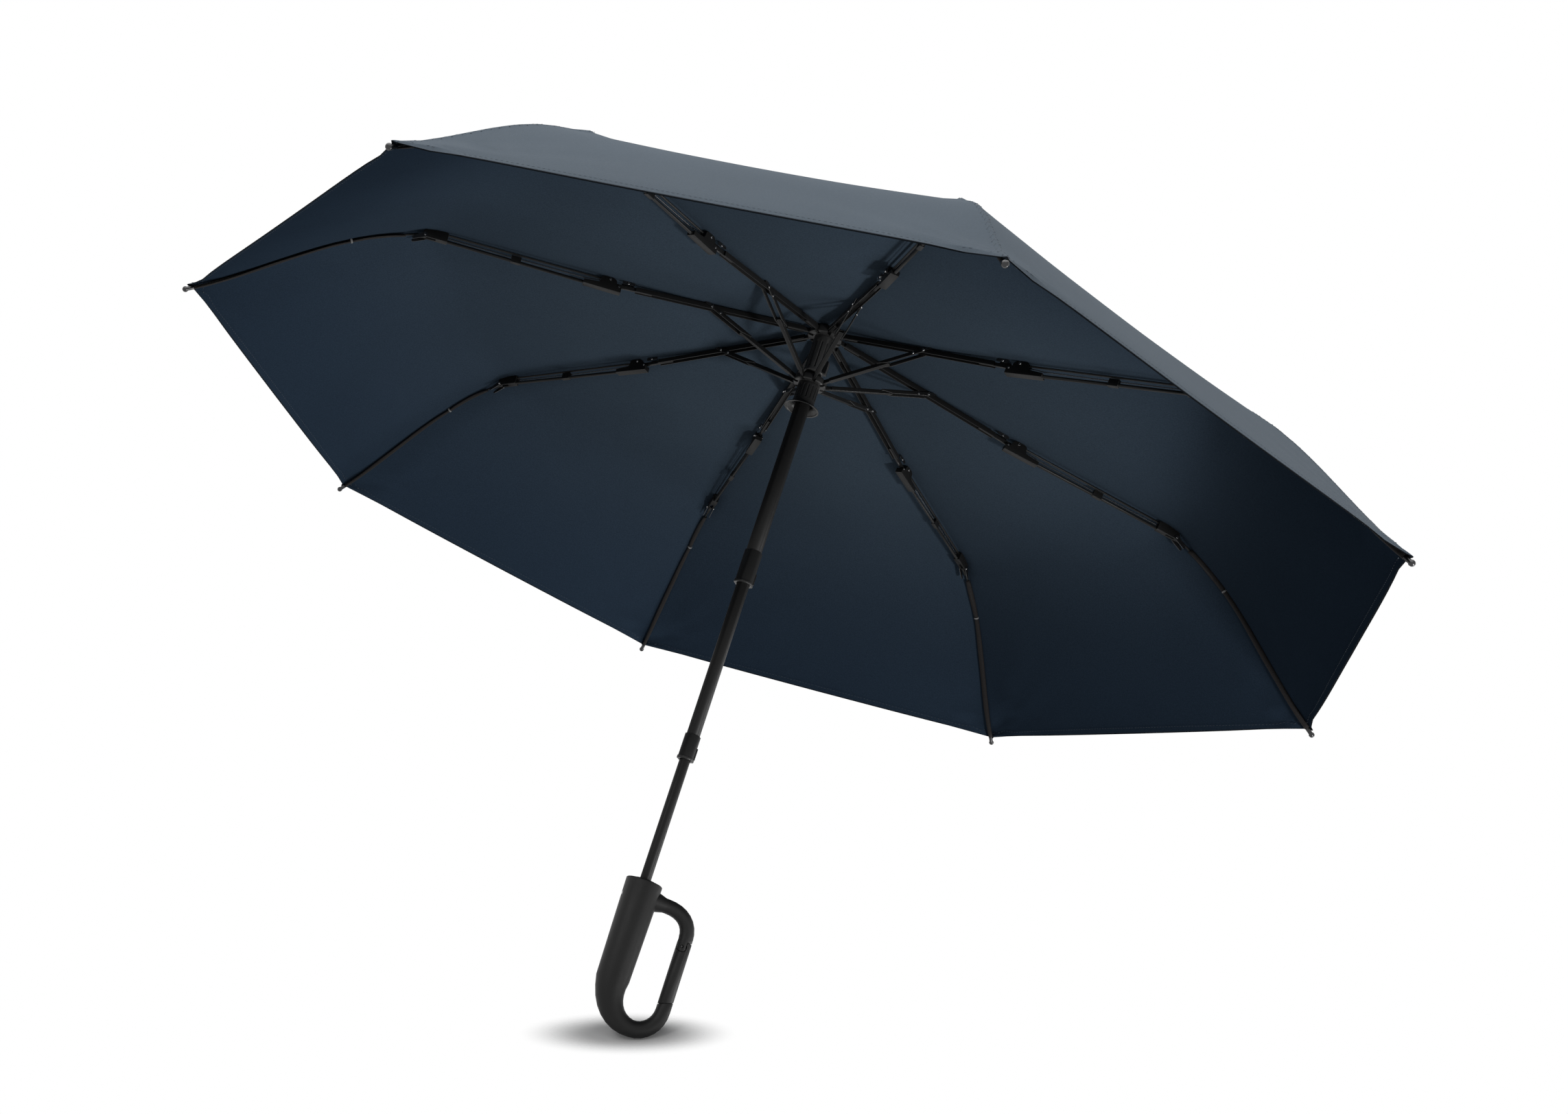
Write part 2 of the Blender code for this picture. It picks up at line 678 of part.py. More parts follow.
def button_mesh(name, grown, proud, extra_depth):
    """The rounded push button on the grip's back, or its pocket when it is grown."""
    half_width = BUTTON_WIDTH / 2 + grown
    half_length = BUTTON_LENGTH / 2 + grown
    points = []
    for step in range(GRIP_SIDES):
        angle = 2 * math.pi * step / GRIP_SIDES
        rise = half_length - half_width if math.sin(angle) >= 0 else half_width - half_length
        centre = grip_point(0, BUTTON_DROP + GRIP_EDGE).z
        points.append((half_width * math.cos(angle), centre + rise + half_width * math.sin(angle)))
    face = GRIP_TOP_RADIUS + proud
    inside = GRIP_TOP_RADIUS - BUTTON_DEPTH - extra_depth - grown
    return plate_mesh(name, points, face - inside, (face + inside) / 2)


def make_button(plastic, steel):
    cap = button_mesh("button", 0.0, BUTTON_PROUD, 0.0)
    place_piece("button", cap, plastic)
    drop = BUTTON_DROP + GRIP_EDGE
    inner_face = GRIP_TOP_RADIUS - BUTTON_DEPTH
    steps = BUTTON_SPRING_STEPS
    low = BUTTON_SPRING_WIRE + CLEARANCE
    high = BUTTON_TRAVEL + BUTTON_SPRING_LENGTH - BUTTON_SPRING_WIRE - CLEARANCE
    points = coil_points(BUTTON_SPRING_RADIUS, BUTTON_SPRING_TURNS, low, high, steps)
    turned = [Vector((x, inner_face - z, GRIP_TOP - drop + y)) for x, y, z in points]
    spring = tube_mesh("button_spring", turned, [BUTTON_SPRING_WIRE] * len(turned), 6)
    place_piece("button_spring", spring, steel)
    print("button spring least gap", round(least_coil_gap(turned, BUTTON_SPRING_WIRE, steps), 5))


# Shaft


def make_shaft(paint, plastic, steel):
    lower_low = GRIP_TOP - GRIP_BORE_DEPTH
    upper_end = NOTCH_HEIGHT - UPPER_END_DROP
    upper_sleeve_end = upper_end - UPPER_SLEEVE_LENGTH
    middle_end = NOTCH_HEIGHT - MIDDLE_END_DROP
    lower_sleeve_end = middle_end - LOWER_SLEEVE_LENGTH
    lower_top = middle_end + TUBE_OVERLAP
    middle_top = upper_end + TUBE_OVERLAP

    lower = hex_tube("lower_tube", LOWER_FLATS, LOWER_WALL, lower_low, lower_top)
    place_piece("lower_tube", lower, paint)
    middle = hex_tube("middle_tube", MIDDLE_FLATS, MIDDLE_WALL, middle_end - SLEEVE_SEAT, middle_top)
    place_piece("middle_tube", middle, paint)
    upper_top = NOTCH_HEIGHT - NOTCH_THICKNESS / 2
    upper = hex_tube("upper_tube", UPPER_FLATS, UPPER_WALL, upper_end - SLEEVE_SEAT, upper_top)
    place_piece("upper_tube", upper, paint)
    lower_sleeve = sleeve_mesh("lower_sleeve", MIDDLE_FLATS, LOWER_FLATS, middle_end, lower_sleeve_end)
    place_piece("lower_sleeve", lower_sleeve, plastic)
    upper_sleeve = sleeve_mesh("upper_sleeve", UPPER_FLATS, MIDDLE_FLATS, upper_end, upper_sleeve_end)
    place_piece("upper_sleeve", upper_sleeve, plastic)

    low = lower_low + LIFT_SPRING_WIRE + CLEARANCE
    high = lower_top - LIFT_SPRING_TOP_GAP
    steps = LIFT_SPRING_STEPS
    points = coil_points(LIFT_SPRING_RADIUS, LIFT_SPRING_TURNS, low, high, steps)
    spring = tube_mesh("lift_spring", points, [LIFT_SPRING_WIRE] * len(points), 4)
    place_piece("lift_spring", spring, steel)
    print("lift spring least gap", round(least_coil_gap(points, LIFT_SPRING_WIRE, steps), 5))


def sleeve_mesh(name, outer_flats, inner_flats, top, end):
    """The plastic bush on a tube's end, which guides the next tube and stops against its sleeve."""
    grip_flats = outer_flats + 2 * SLEEVE_WALL
    body = prism_mesh(name, hex_outline(grip_flats, TUBE_EDGE), end, top)
    lip_outline = hex_outline(grip_flats + 2 * SLEEVE_LIP, TUBE_EDGE)
    lip = prism_mesh(f"{name}_lip", lip_outline, end, end + SLEEVE_LIP_LENGTH)
    clip_low = (outer_flats / 2, -CLIP_WIDTH / 2, end + SLEEVE_LIP_LENGTH - CLEARANCE)
    clip_high = (outer_flats / math.sqrt(3) + CLIP_PROUD, CLIP_WIDTH / 2, clip_low[2] + CLIP_LENGTH)
    body = union(name, body, lip, box_mesh(f"{name}_clip", clip_low, clip_high))
    bore = prism_mesh(
        f"{name}_bore", hex_outline(inner_flats + 2 * CLEARANCE, TUBE_EDGE), end - OVERRUN, top + OVERRUN
    )
    seat = prism_mesh(
        f"{name}_seat",
        hex_outline(outer_flats + 2 * CLEARANCE, TUBE_EDGE),
        top - SLEEVE_SEAT - CLEARANCE,
        top + OVERRUN,
    )
    return cut(name, body, bore, seat)


# Crown


def slot_cutters(name, root, reach, low, high):
    """One radial slot for each rib."""
    found = []
    for index in range(RIB_COUNT):
        slot = box_mesh(f"{name}_{index}", (root, -NOTCH_SLOT / 2, low), (reach, NOTCH_SLOT / 2, high))
        slot.transform(Matrix.Rotation(2 * math.pi * index / RIB_COUNT, 4, "Z"))
        found.append(slot)
    return found


def pivot_wire_mesh(name, ring_radius, height):
    """The ring of wire that threads the eyes of all the ribs or all the stretchers."""
    profile = []
    for step in range(PIVOT_SIDES):
        angle = 2 * math.pi * step / PIVOT_SIDES
        across = PIVOT_WIRE_RADIUS * math.cos(angle)
        profile.append((ring_radius + across, height + PIVOT_WIRE_RADIUS * math.sin(angle)))
    return turned_mesh(name, profile, TURNED_SIDES)


def flute_cutters(name, count, radius, centre_radius, low, high):
    found = []
    for index in range(count):
        turn = Matrix.Rotation(2 * math.pi * (index + 0.5) / count, 3, "Z")
        foot = turn @ Vector((centre_radius, 0, low))
        head = turn @ Vector((centre_radius, 0, high))
        found.append(rod_mesh(f"{name}_{index}", radius, foot, head, ROD_SIDES))
    return found


def make_crown(paint, plastic, steel):
    upper_corner = UPPER_FLATS / math.sqrt(3)
    tube_hole = upper_corner + CLEARANCE
    top = NOTCH_HEIGHT + NOTCH_THICKNESS / 2
    base = NOTCH_HEIGHT - NOTCH_THICKNESS / 2
    edge = NOTCH_THICKNESS / 8
    crown = turned_mesh(
        "notch",
        [
            (0.0, base + CLEARANCE),
            (NOTCH_RADIUS - edge, base + CLEARANCE),
            (NOTCH_RADIUS, base + edge),
            (NOTCH_RADIUS, top - edge),
            (NOTCH_RADIUS - edge, top),
            (0.0, top),
        ],
        TURNED_SIDES,
    )
    slots = slot_cutters(
        "notch_slot", NOTCH_SLOT_ROOT, NOTCH_RADIUS + OVERRUN, base - OVERRUN, top + OVERRUN
    )
    wire = pivot_wire_mesh("notch_wire", NOTCH_PIVOT_RADIUS, NOTCH_HEIGHT)
    place_piece("notch", union("notch", cut("notch", crown, *slots), wire), plastic)

    barrel_low = base - BARREL_LENGTH
    barrel = turned_mesh(
        "notch_barrel",
        [
            (tube_hole, barrel_low),
            (BARREL_RADIUS - edge, barrel_low),
            (BARREL_RADIUS, barrel_low + edge),
            (BARREL_RADIUS, base),
            (tube_hole, base),
        ],
        TURNED_SIDES,
    )
    flutes = flute_cutters(
        "flute", BARREL_FLUTES, BARREL_FLUTE_RADIUS, BARREL_RADIUS, barrel_low + 4 * edge, base - 6 * edge
    )
    barrel = cut("notch_barrel", barrel, *flutes)
    catch_low = barrel_low + 2 * edge
    catch = box_mesh(
        "barrel_catch",
        (BARREL_RADIUS - 2 * edge, -BARREL_CATCH_WIDTH / 2, catch_low),
        (BARREL_RADIUS + BARREL_CATCH_PROUD, BARREL_CATCH_WIDTH / 2, catch_low + BARREL_CATCH_LENGTH),
    )
    catch.transform(Matrix.Rotation(-math.pi / RIB_COUNT, 4, "Z"))
    place_piece("notch_barrel", union("notch_barrel", barrel, catch), plastic)

    cap_low = top + CAP_RISE
    profile = [(0.0, top + CLEARANCE), (CAP_STEM_RADIUS, top + CLEARANCE), (CAP_STEM_RADIUS, cap_low)]
    for across, up in zip(CAP_RADIUS_SHARES, CAP_HEIGHT_SHARES):
        profile.append((CAP_RADIUS * across, cap_low + CAP_HEIGHT * up))
    profile += [(CAP_KNOB_RADIUS, cap_low + CAP_HEIGHT * up) for up in CAP_KNOB_SHARES]
    profile += [(CAP_KNOB_RADIUS * CAP_CREST_SHARE, cap_low + CAP_HEIGHT), (0.0, cap_low + CAP_HEIGHT)]
    place_piece("top_cap", turned_mesh("top_cap", profile, TURNED_SIDES), plastic)


def make_runner(plastic):
    """The runner slides on the upper tube. Its ring holds the stretchers, and a hand pulls its bell."""
    pivot_height = runner_pivot_height()
    hole = UPPER_FLATS / math.sqrt(3) + CLEARANCE
    ring_top = pivot_height + RUNNER_RING_HEIGHT / 2
    ring_low = pivot_height - RUNNER_RING_HEIGHT / 2
    edge = RUNNER_RING_HEIGHT / 8
    ring = turned_mesh(
        "runner_ring",
        [
            (hole, ring_low),
            (RUNNER_RING_RADIUS - edge, ring_low),
            (RUNNER_RING_RADIUS, ring_low + edge),
            (RUNNER_RING_RADIUS, ring_top - edge),
            (RUNNER_RING_RADIUS - edge, ring_top),
            (hole, ring_top),
        ],
        TURNED_SIDES,
    )
    slots = slot_cutters(
        "ring_slot", RUNNER_SLOT_ROOT, RUNNER_RING_RADIUS + OVERRUN, ring_low - OVERRUN, ring_top + OVERRUN
    )
    wire = pivot_wire_mesh("ring_wire", RUNNER_PIVOT_RADIUS, pivot_height)
    place_piece("runner_ring", union("runner_ring", cut("runner_ring", ring, *slots), wire), plastic)

    neck_top = ring_low - CLEARANCE
    bell_low = pivot_height - RUNNER_BELL_DROP
    flare_top = bell_low + RUNNER_BELL_FLARE
    flare = RUNNER_BELL_RADIUS - RUNNER_NECK_RADIUS
    outer = []
    for across, up in zip(BELL_RADIUS_SHARES, BELL_HEIGHT_SHARES):
        outer.append((RUNNER_NECK_RADIUS + flare * across, bell_low + RUNNER_BELL_FLARE * up))
    inner = [(x - RUNNER_BELL_WALL, z) for x, z in reversed(outer)]
    inner = [(x, z) for x, z in inner if x > hole + RUNNER_BELL_WALL / 2]
    collar_low = flare_top - RUNNER_BELL_WALL
    profile = [(hole, neck_top), (RUNNER_NECK_RADIUS, neck_top)] + outer + inner + [(hole, collar_low)]
    body = turned_mesh("runner", profile, TURNED_SIDES)
    flutes = flute_cutters(
        "runner_flute",
        RUNNER_RIBS,
        RUNNER_RIB_RADIUS,
        RUNNER_NECK_RADIUS + RUNNER_RIB_RADIUS / 4,
        flare_top + 2 * edge,
        neck_top - 3 * edge,
    )
    place_piece("runner", cut("runner", body, *flutes), plastic)


# Rib linkage. Each member is drawn along +X from its own pivot, then laid at its droop at azimuth 0.


def along(start, length, droop, rise=0.0):
    """The point a length along a drooping member, raised square to it."""
    x = start[0] + length * math.cos(droop) + rise * math.sin(droop)
    z = start[1] - length * math.sin(droop) + rise * math.cos(droop)
    return (x, z)


NOTCH_PIVOT = (NOTCH_PIVOT_RADIUS, NOTCH_HEIGHT)
KNEE = along(NOTCH_PIVOT, INNER_LENGTH, INNER_DROOP, KNEE_RISE)
OUTER_KNEE = along(KNEE, MIDDLE_LENGTH, MIDDLE_DROOP, -OUTER_PIVOT_DROP)
STRETCHER_HEAD = along(NOTCH_PIVOT, STRETCHER_PIVOT, INNER_DROOP)


def runner_pivot_height():
    reach = STRETCHER_HEAD[0] - RUNNER_PIVOT_RADIUS
    return STRETCHER_HEAD[1] - math.sqrt(STRETCHER_LENGTH**2 - reach**2)


def lay(mesh, start, droop):
    """Turns a member drawn along +X to its droop and moves it to its pivot."""
    mesh.transform(Matrix.Rotation(droop, 4, "Y"))
    mesh.transform(Matrix.Translation((start[0], 0, start[1])))
    return mesh


def channel_section(width, depth, wall, opens_down):
    """A U-shaped section as (y, z) points, centred on the member's line."""
    half, rise = width / 2, depth / 2
    points = [
        (-half, -rise),
        (-half, rise),
        (half, rise),
        (half, -rise),
        (half - wall, -rise),
        (half - wall, rise - wall),
        (wall - half, rise - wall),
        (wall - half, -rise),
    ]
    return points if opens_down else [(y, -z) for y, z in points]


def eye_outline(radius, reach, half_width):
    """A plate that is round about the pivot and runs along +X to its reach."""
    points = [(reach, half_width)]
    for step in range(EYE_STEPS):
        angle = math.pi / 2 + math.pi * step / (EYE_STEPS - 1)
        points.append((radius * math.cos(angle), radius * math.sin(angle)))
    return points + [(reach, -half_width)]


def pivot_bar(name, radius, place, half_width):
    """A round bar across a member at (length, rise): a pivot's pin, or the cutter of its hole."""
    start = (place[0], -half_width, place[1])
    end = (place[0], half_width, place[1])
    return rod_mesh(name, radius, start, end, PIVOT_SIDES)


def inner_rib_mesh():
    depth = INNER_DEPTH / 2
    channel_end = INNER_LENGTH - KNUCKLE_BACK - INNER_CHANNEL_GAP
    section = channel_section(INNER_WIDTH, INNER_DEPTH, INNER_WALL, True)
    channel = beam_mesh("inner_channel", section, INNER_CHANNEL_START, channel_end)
    root_outline = eye_outline(EYE_RADIUS, 3 * INNER_CHANNEL_START, depth - INNER_WALL / 2)
    root = plate_mesh("inner_root", root_outline, EYE_THICKNESS)
    tab_start = channel_end - 2 * INNER_CHANNEL_START
    outline = [(tab_start, -depth + INNER_WALL), (tab_start, depth - INNER_WALL / 2)]
    outline.append((INNER_LENGTH - TAB_NECK, depth - INNER_WALL / 2))
    for step in range(EYE_STEPS):
        angle = TAB_EYE_START - (TAB_EYE_START + TAB_EYE_END) * step / (EYE_STEPS - 1)
        rise = KNEE_RISE + EYE_RADIUS * math.sin(angle)
        outline.append((INNER_LENGTH + EYE_RADIUS * math.cos(angle), rise))
    outline.append((INNER_LENGTH - EYE_RADIUS, -depth + INNER_WALL))
    tab = plate_mesh("inner_tab", outline, EYE_THICKNESS)
    rib = union("inner_rib", channel, root, tab)
    holes = [
        pivot_bar("root_hole", PIVOT_WIRE_RADIUS + CLEARANCE, (0, 0), INNER_WIDTH),
        pivot_bar("knee_hole", PIVOT_PIN_RADIUS + CLEARANCE, (INNER_LENGTH, KNEE_RISE), INNER_WIDTH),
    ]
    return lay(cut("inner_rib", rib, *holes), NOTCH_PIVOT, INNER_DROOP)


def stretcher_mesh():
    """A channel that nests in the rib's channel, with an open fork that straddles the rib."""
    depth = STRETCHER_DEPTH / 2
    fork_start = STRETCHER_LENGTH - STRETCHER_FORK
    gap = INNER_WIDTH / 2 + CLEARANCE
    section = channel_section(STRETCHER_WIDTH, STRETCHER_DEPTH, STRETCHER_WALL, False)
    channel = beam_mesh("stretcher_channel", section, INNER_CHANNEL_START, fork_start)
    root_outline = eye_outline(EYE_RADIUS, 2 * INNER_CHANNEL_START, depth - STRETCHER_WALL / 2)
    root = plate_mesh("stretcher_root", root_outline, EYE_THICKNESS)
    floor_start = fork_start - STRETCHER_FORK_ROOT
    half_fork = gap + FORK_CHEEK
    floor = box_mesh(
        "fork_floor", (floor_start, -half_fork, depth - FORK_FLOOR), (fork_start, half_fork, depth)
    )
    cheeks = []
    for side in (-1, 1):
        outline = [(fork_start, -depth), (floor_start, depth - FORK_FLOOR), (floor_start, depth)]
        for step in range(EYE_STEPS):
            angle = math.pi / 2 - math.pi * step / (EYE_STEPS - 1)
            outline.append((STRETCHER_LENGTH + depth * math.cos(angle), depth * math.sin(angle)))
        middle = side * (gap + FORK_CHEEK / 2)
        cheeks.append(plate_mesh(f"fork_cheek_{side}", outline, FORK_CHEEK, middle))
    mesh = union("stretcher", floor, channel, root, *cheeks)
    hole = pivot_bar("root_hole", PIVOT_WIRE_RADIUS + CLEARANCE, (0, 0), STRETCHER_WIDTH)
    mesh = cut("stretcher", mesh, hole)
    rise = math.asin((STRETCHER_HEAD[1] - runner_pivot_height()) / STRETCHER_LENGTH)
    return lay(mesh, (RUNNER_PIVOT_RADIUS, runner_pivot_height()), -rise)


def middle_rib_mesh():
    """Knuckle, two rods, a clip between them and the forked outer knuckle."""
    slot = EYE_THICKNESS / 2 + CLEARANCE
    top = KNUCKLE_TOP
    drop = -KNUCKLE_DROP
    back, reach = -KNUCKLE_BACK, KNUCKLE_REACH
    outline = [(back, drop)]
    for across, down in zip(KNUCKLE_BACK_SHARES, KNUCKLE_HEEL_SHARES):
        outline.append((back * across, drop * down))
    outline.append((0, top))
    for across, down in zip(KNUCKLE_SADDLE_SHARES, KNUCKLE_SCALLOP_SHARES):
        outline.append((reach * across, drop * down))
    outline += [(reach, drop * share) for share in KNUCKLE_NOSE_SHARES]
    knuckle = plate_mesh("knuckle", outline, KNUCKLE_WIDTH)
    tab_low = -KNEE_RISE - INNER_DEPTH / 2 - CLEARANCE
    slot_end = TAB_NECK + CLEARANCE
    notch = box_mesh("knuckle_slot", (back - OVERRUN, -slot, tab_low), (slot_end, slot, 2 * top))
    folded_rib = KNEE_RISE - INNER_DEPTH / 2 - CLEARANCE
    shelf = box_mesh("knuckle_shelf", (0, -slot, folded_rib), (reach, slot, 2 * top))
    knee_pin = pivot_bar("knee_pin", PIVOT_PIN_RADIUS, (0, 0), (slot + KNUCKLE_WIDTH / 2) / 2)
    knuckle = union("knuckle", cut("knuckle", knuckle, notch, shelf), knee_pin)
    knuckle_end = MIDDLE_LENGTH - OUTER_KNUCKLE_LENGTH
    upper = rod_mesh(
        "upper_rod",
        ROD_RADIUS,
        (slot_end + CLEARANCE, 0, 0),
        (knuckle_end + OVERRUN, 0, 0),
        ROD_SIDES,
        ROD_PHASE,
    )
    lower = rod_mesh(
        "lower_rod",
        LOWER_ROD_RADIUS,
        (reach / 2, 0, -LOWER_ROD_DROP),
        (knuckle_end + OVERRUN, 0, -OUTER_PIVOT_DROP),
        ROD_SIDES,
        ROD_PHASE,
    )
    clip_half = LOWER_ROD_RADIUS + ROD_RADIUS / 2
    clip_low = -LOWER_ROD_DROP - LOWER_ROD_RADIUS / 2
    clip = box_mesh(
        "rod_clip",
        (CLIP_PLACE - ROD_CLIP_LENGTH / 2, -clip_half, clip_low),
        (CLIP_PLACE + ROD_CLIP_LENGTH / 2, clip_half, clip_low + ROD_CLIP_HEIGHT),
    )
    low = -OUTER_PIVOT_DROP - LOWER_ROD_RADIUS
    outer_width = KNUCKLE_WIDTH * OUTER_KNUCKLE_SHARE
    outer = plate_mesh(
        "outer_knuckle",
        [
            (knuckle_end, low),
            (knuckle_end, ROD_RADIUS),
            (MIDDLE_LENGTH - OUTER_FORK_DEPTH, 2 * ROD_RADIUS),
            (MIDDLE_LENGTH, 0.0),
            (MIDDLE_LENGTH + EYE_RADIUS, -OUTER_PIVOT_DROP / 2),
            (MIDDLE_LENGTH + EYE_RADIUS, -OUTER_PIVOT_DROP),
            (MIDDLE_LENGTH, low),
        ],
        outer_width,
    )
    fork = box_mesh(
        "outer_fork",
        (MIDDLE_LENGTH - OUTER_FORK_DEPTH, -slot, 2 * low),
        (MIDDLE_LENGTH + 4 * EYE_RADIUS, slot, 4 * ROD_RADIUS),
    )
    outer_place = (MIDDLE_LENGTH, -OUTER_PIVOT_DROP)
    outer_pin = pivot_bar("outer_pin", PIVOT_PIN_RADIUS, outer_place, (slot + outer_width / 2) / 2)
    outer = union("outer_knuckle", cut("outer_knuckle", outer, fork), outer_pin)
    return lay(union("middle_rib", knuckle, upper, lower, clip, outer), KNEE, MIDDLE_DROOP)


def outer_rod_height(along_rod):
    """How high the bent rod's middle lies over the line from its pivot to the tip."""
    bow_end = OUTER_LENGTH - 2 * TIP_SOCKET_LENGTH
    share = min(max((along_rod - OUTER_NECK) / (bow_end - OUTER_NECK), 0), 1)
    peak_share = 1 / (BOW_POWER + 1)
    peak = peak_share * (1 - peak_share) ** BOW_POWER
    return OUTER_ROD_RISE + OUTER_BOW * share * (1 - share) ** BOW_POWER / peak


def outer_rib_mesh():
    """A flat eye that turns in the outer knuckle, a neck and the spring-steel rod to the tip."""
    rise = OUTER_ROD_RISE
    outline = []
    for step in range(EYE_STEPS):
        angle = OUTER_EYE_START + math.pi * step / (EYE_STEPS - 1)
        outline.append((EYE_RADIUS * math.cos(angle), EYE_RADIUS * math.sin(angle)))
    outline += [(OUTER_NECK, rise - OUTER_ROD_RADIUS), (OUTER_NECK, rise + OUTER_ROD_RADIUS)]
    eye = plate_mesh("outer_eye", outline, EYE_THICKNESS)
    hole = pivot_bar("outer_hole", PIVOT_PIN_RADIUS + CLEARANCE, (0, 0), EYE_THICKNESS)
    eye = cut("outer_eye", eye, hole)
    end = OUTER_LENGTH - TIP_SOCKET_LENGTH / 2
    places = [OUTER_NECK / 2, 2 * OUTER_NECK]
    places += [OUTER_LENGTH * share for share in OUTER_CLOTH_SHARES]
    places += [OUTER_LENGTH - 2 * TIP_SOCKET_LENGTH, end]
    points = [(place, outer_rod_height(place)) for place in places]
    rod = bent_rod_mesh("outer_rod", OUTER_ROD_RADIUS, points, OUTER_ROD_SIDES, OUTER_ROD_PHASE)
    return lay(union("outer_rib", eye, rod), OUTER_KNEE, OUTER_DROOP)


def tip_mesh():
    """The ball-ended cap on the rod, which the canopy's corner is sewn to."""
    bore = OUTER_ROD_RADIUS + CLEARANCE
    rod_end = OUTER_LENGTH - TIP_SOCKET_LENGTH / 2
    start = OUTER_LENGTH - TIP_SOCKET_LENGTH
    profile = [(0.0, rod_end + CLEARANCE), (bore, rod_end + CLEARANCE), (bore, start)]
    profile.append((TIP_SOCKET_RADIUS, start))
    for step in range(TIP_STEPS):
        angle = TIP_BALL_START * (1 - step / TIP_STEPS)
        height = OUTER_LENGTH + TIP_BALL_RADIUS * math.cos(angle)
        profile.append((TIP_BALL_RADIUS * math.sin(angle), height))
    profile.append((0.0, OUTER_LENGTH + TIP_BALL_RADIUS))
    mesh = turned_mesh("tip", profile, PIN_SIDES)
    mesh.transform(Matrix.Rotation(math.pi / 2, 4, "Y"))
    mesh.transform(Matrix.Translation((0, 0, OUTER_ROD_RISE)))
    return lay(mesh, OUTER_KNEE, OUTER_DROOP)


def make_ribs(paint, plastic, steel):
    inner = inner_rib_mesh()
    stretcher = stretcher_mesh()
    middle = middle_rib_mesh()
    outer = outer_rib_mesh()
    tip = tip_mesh()
    notch = (NOTCH_PIVOT[0], 0, NOTCH_PIVOT[1])
    runner = (RUNNER_PIVOT_RADIUS, 0, runner_pivot_height())
    knee = (KNEE[0], 0, KNEE[1])
    outer_knee = (OUTER_KNEE[0], 0, OUTER_KNEE[1])
    for index in range(RIB_COUNT):
        azimuth = 2 * math.pi * index / RIB_COUNT
        number = index + 1
        place_piece(f"inner_rib_{number}", inner, paint, notch, azimuth)
        place_piece(f"stretcher_{number}", stretcher, paint, runner, azimuth)
        place_piece(f"middle_rib_{number}", middle, plastic, knee, azimuth)
        place_piece(f"outer_rib_{number}", outer, paint, outer_knee, azimuth)
        place_piece(f"rib_tip_{number}", tip, steel, outer_knee, azimuth)


# Canopy


def canopy_profile():
    """The cloth's line over a rib, from its hole at the cap to the tip, as (radius, height)."""
    lift = CLOTH_LIFT
    top = NOTCH_HEIGHT + NOTCH_THICKNESS / 2 + lift
    knee_top = along(KNEE, 0, MIDDLE_DROOP, KNUCKLE_TOP + lift)
    knuckle_end = MIDDLE_LENGTH - OUTER_FORK_DEPTH
    bump = along(KNEE, knuckle_end, MIDDLE_DROOP, 2 * ROD_RADIUS + lift)
    points = [
        (CAP_STEM_RADIUS + CLOTH_HOLE_MARGIN, top),
        (NOTCH_RADIUS + lift, top),
    ]
    for share in INNER_CLOTH_SHARES:
        points.append(along(NOTCH_PIVOT, INNER_LENGTH * share, INNER_DROOP, INNER_DEPTH / 2 + 2 * lift))
    points.append(knee_top)
    for share in MIDDLE_CLOTH_SHARES:
        points.append(along(KNEE, MIDDLE_LENGTH * share, MIDDLE_DROOP, KNUCKLE_TOP + lift))
    points += [bump, along(KNEE, MIDDLE_LENGTH + EYE_RADIUS, MIDDLE_DROOP, lift)]
    rod_top = OUTER_ROD_RADIUS + lift
    neck_top = outer_rod_height(2 * OUTER_NECK) + rod_top + lift
    points.append(along(OUTER_KNEE, 2 * OUTER_NECK, OUTER_DROOP, neck_top))
    for share in OUTER_CLOTH_SHARES:
        place = OUTER_LENGTH * share
        points.append(along(OUTER_KNEE, place, OUTER_DROOP, outer_rod_height(place) + rod_top))
    tip_top = OUTER_ROD_RISE + TIP_BALL_RADIUS + lift
    points.append(along(OUTER_KNEE, OUTER_LENGTH - TIP_BALL_RADIUS, OUTER_DROOP, tip_top))
    return points


def canopy_point(radius, height, share, depth_share):
    """A point of a panel. share runs from -1 at one rib to 1 at the next.
    depth_share runs from 0 at the cap to 1 at the rim."""
    half = math.pi / RIB_COUNT
    hollow = 1 - share * share
    chord = radius * math.cos(half) / math.cos(half * share)
    blend = depth_share**CHORD_POWER
    out = radius + (chord - radius) * blend - RIM_HOLLOW * hollow * depth_share**HOLLOW_POWER
    drop = PANEL_SAG * hollow * math.sin(math.pi * depth_share) ** SAG_POWER
    return out, height - drop


def canopy_mesh():
    profile = canopy_profile()
    last = len(profile) - 1
    bm = bmesh.new()
    rings = []
    for row, (radius, height) in enumerate(profile):
        ring = []
        for step in range(RIB_COUNT * PANEL_STEPS):
            share = 2 * (step % PANEL_STEPS) / PANEL_STEPS - 1
            out, up = canopy_point(radius, height, share, row / last)
            angle = 2 * math.pi * step / (RIB_COUNT * PANEL_STEPS)
            ring.append(bm.verts.new((out * math.cos(angle), out * math.sin(angle), up)))
        rings.append(ring)
    for low, high in zip(rings, rings[1:]):
        for step in range(len(low)):
            after = (step + 1) % len(low)
            bm.faces.new((low[step], high[step], high[after], low[after]))
    bmesh.ops.recalc_face_normals(bm, faces=bm.faces)
    if sum(face.normal.z for face in bm.faces) < 0:
        bmesh.ops.reverse_faces(bm, faces=bm.faces)
    mesh = bpy.data.meshes.new("canopy")
    bm.to_mesh(mesh)
    bm.free()
    return mesh


def make_canopy(cloth):
    obj = place_piece("canopy", canopy_mesh(), cloth)
    solidify = obj.modifiers.new("cloth", "SOLIDIFY")
    solidify.thickness = CLOTH
    solidify.offset = 1
    solidify.use_even_offset = True


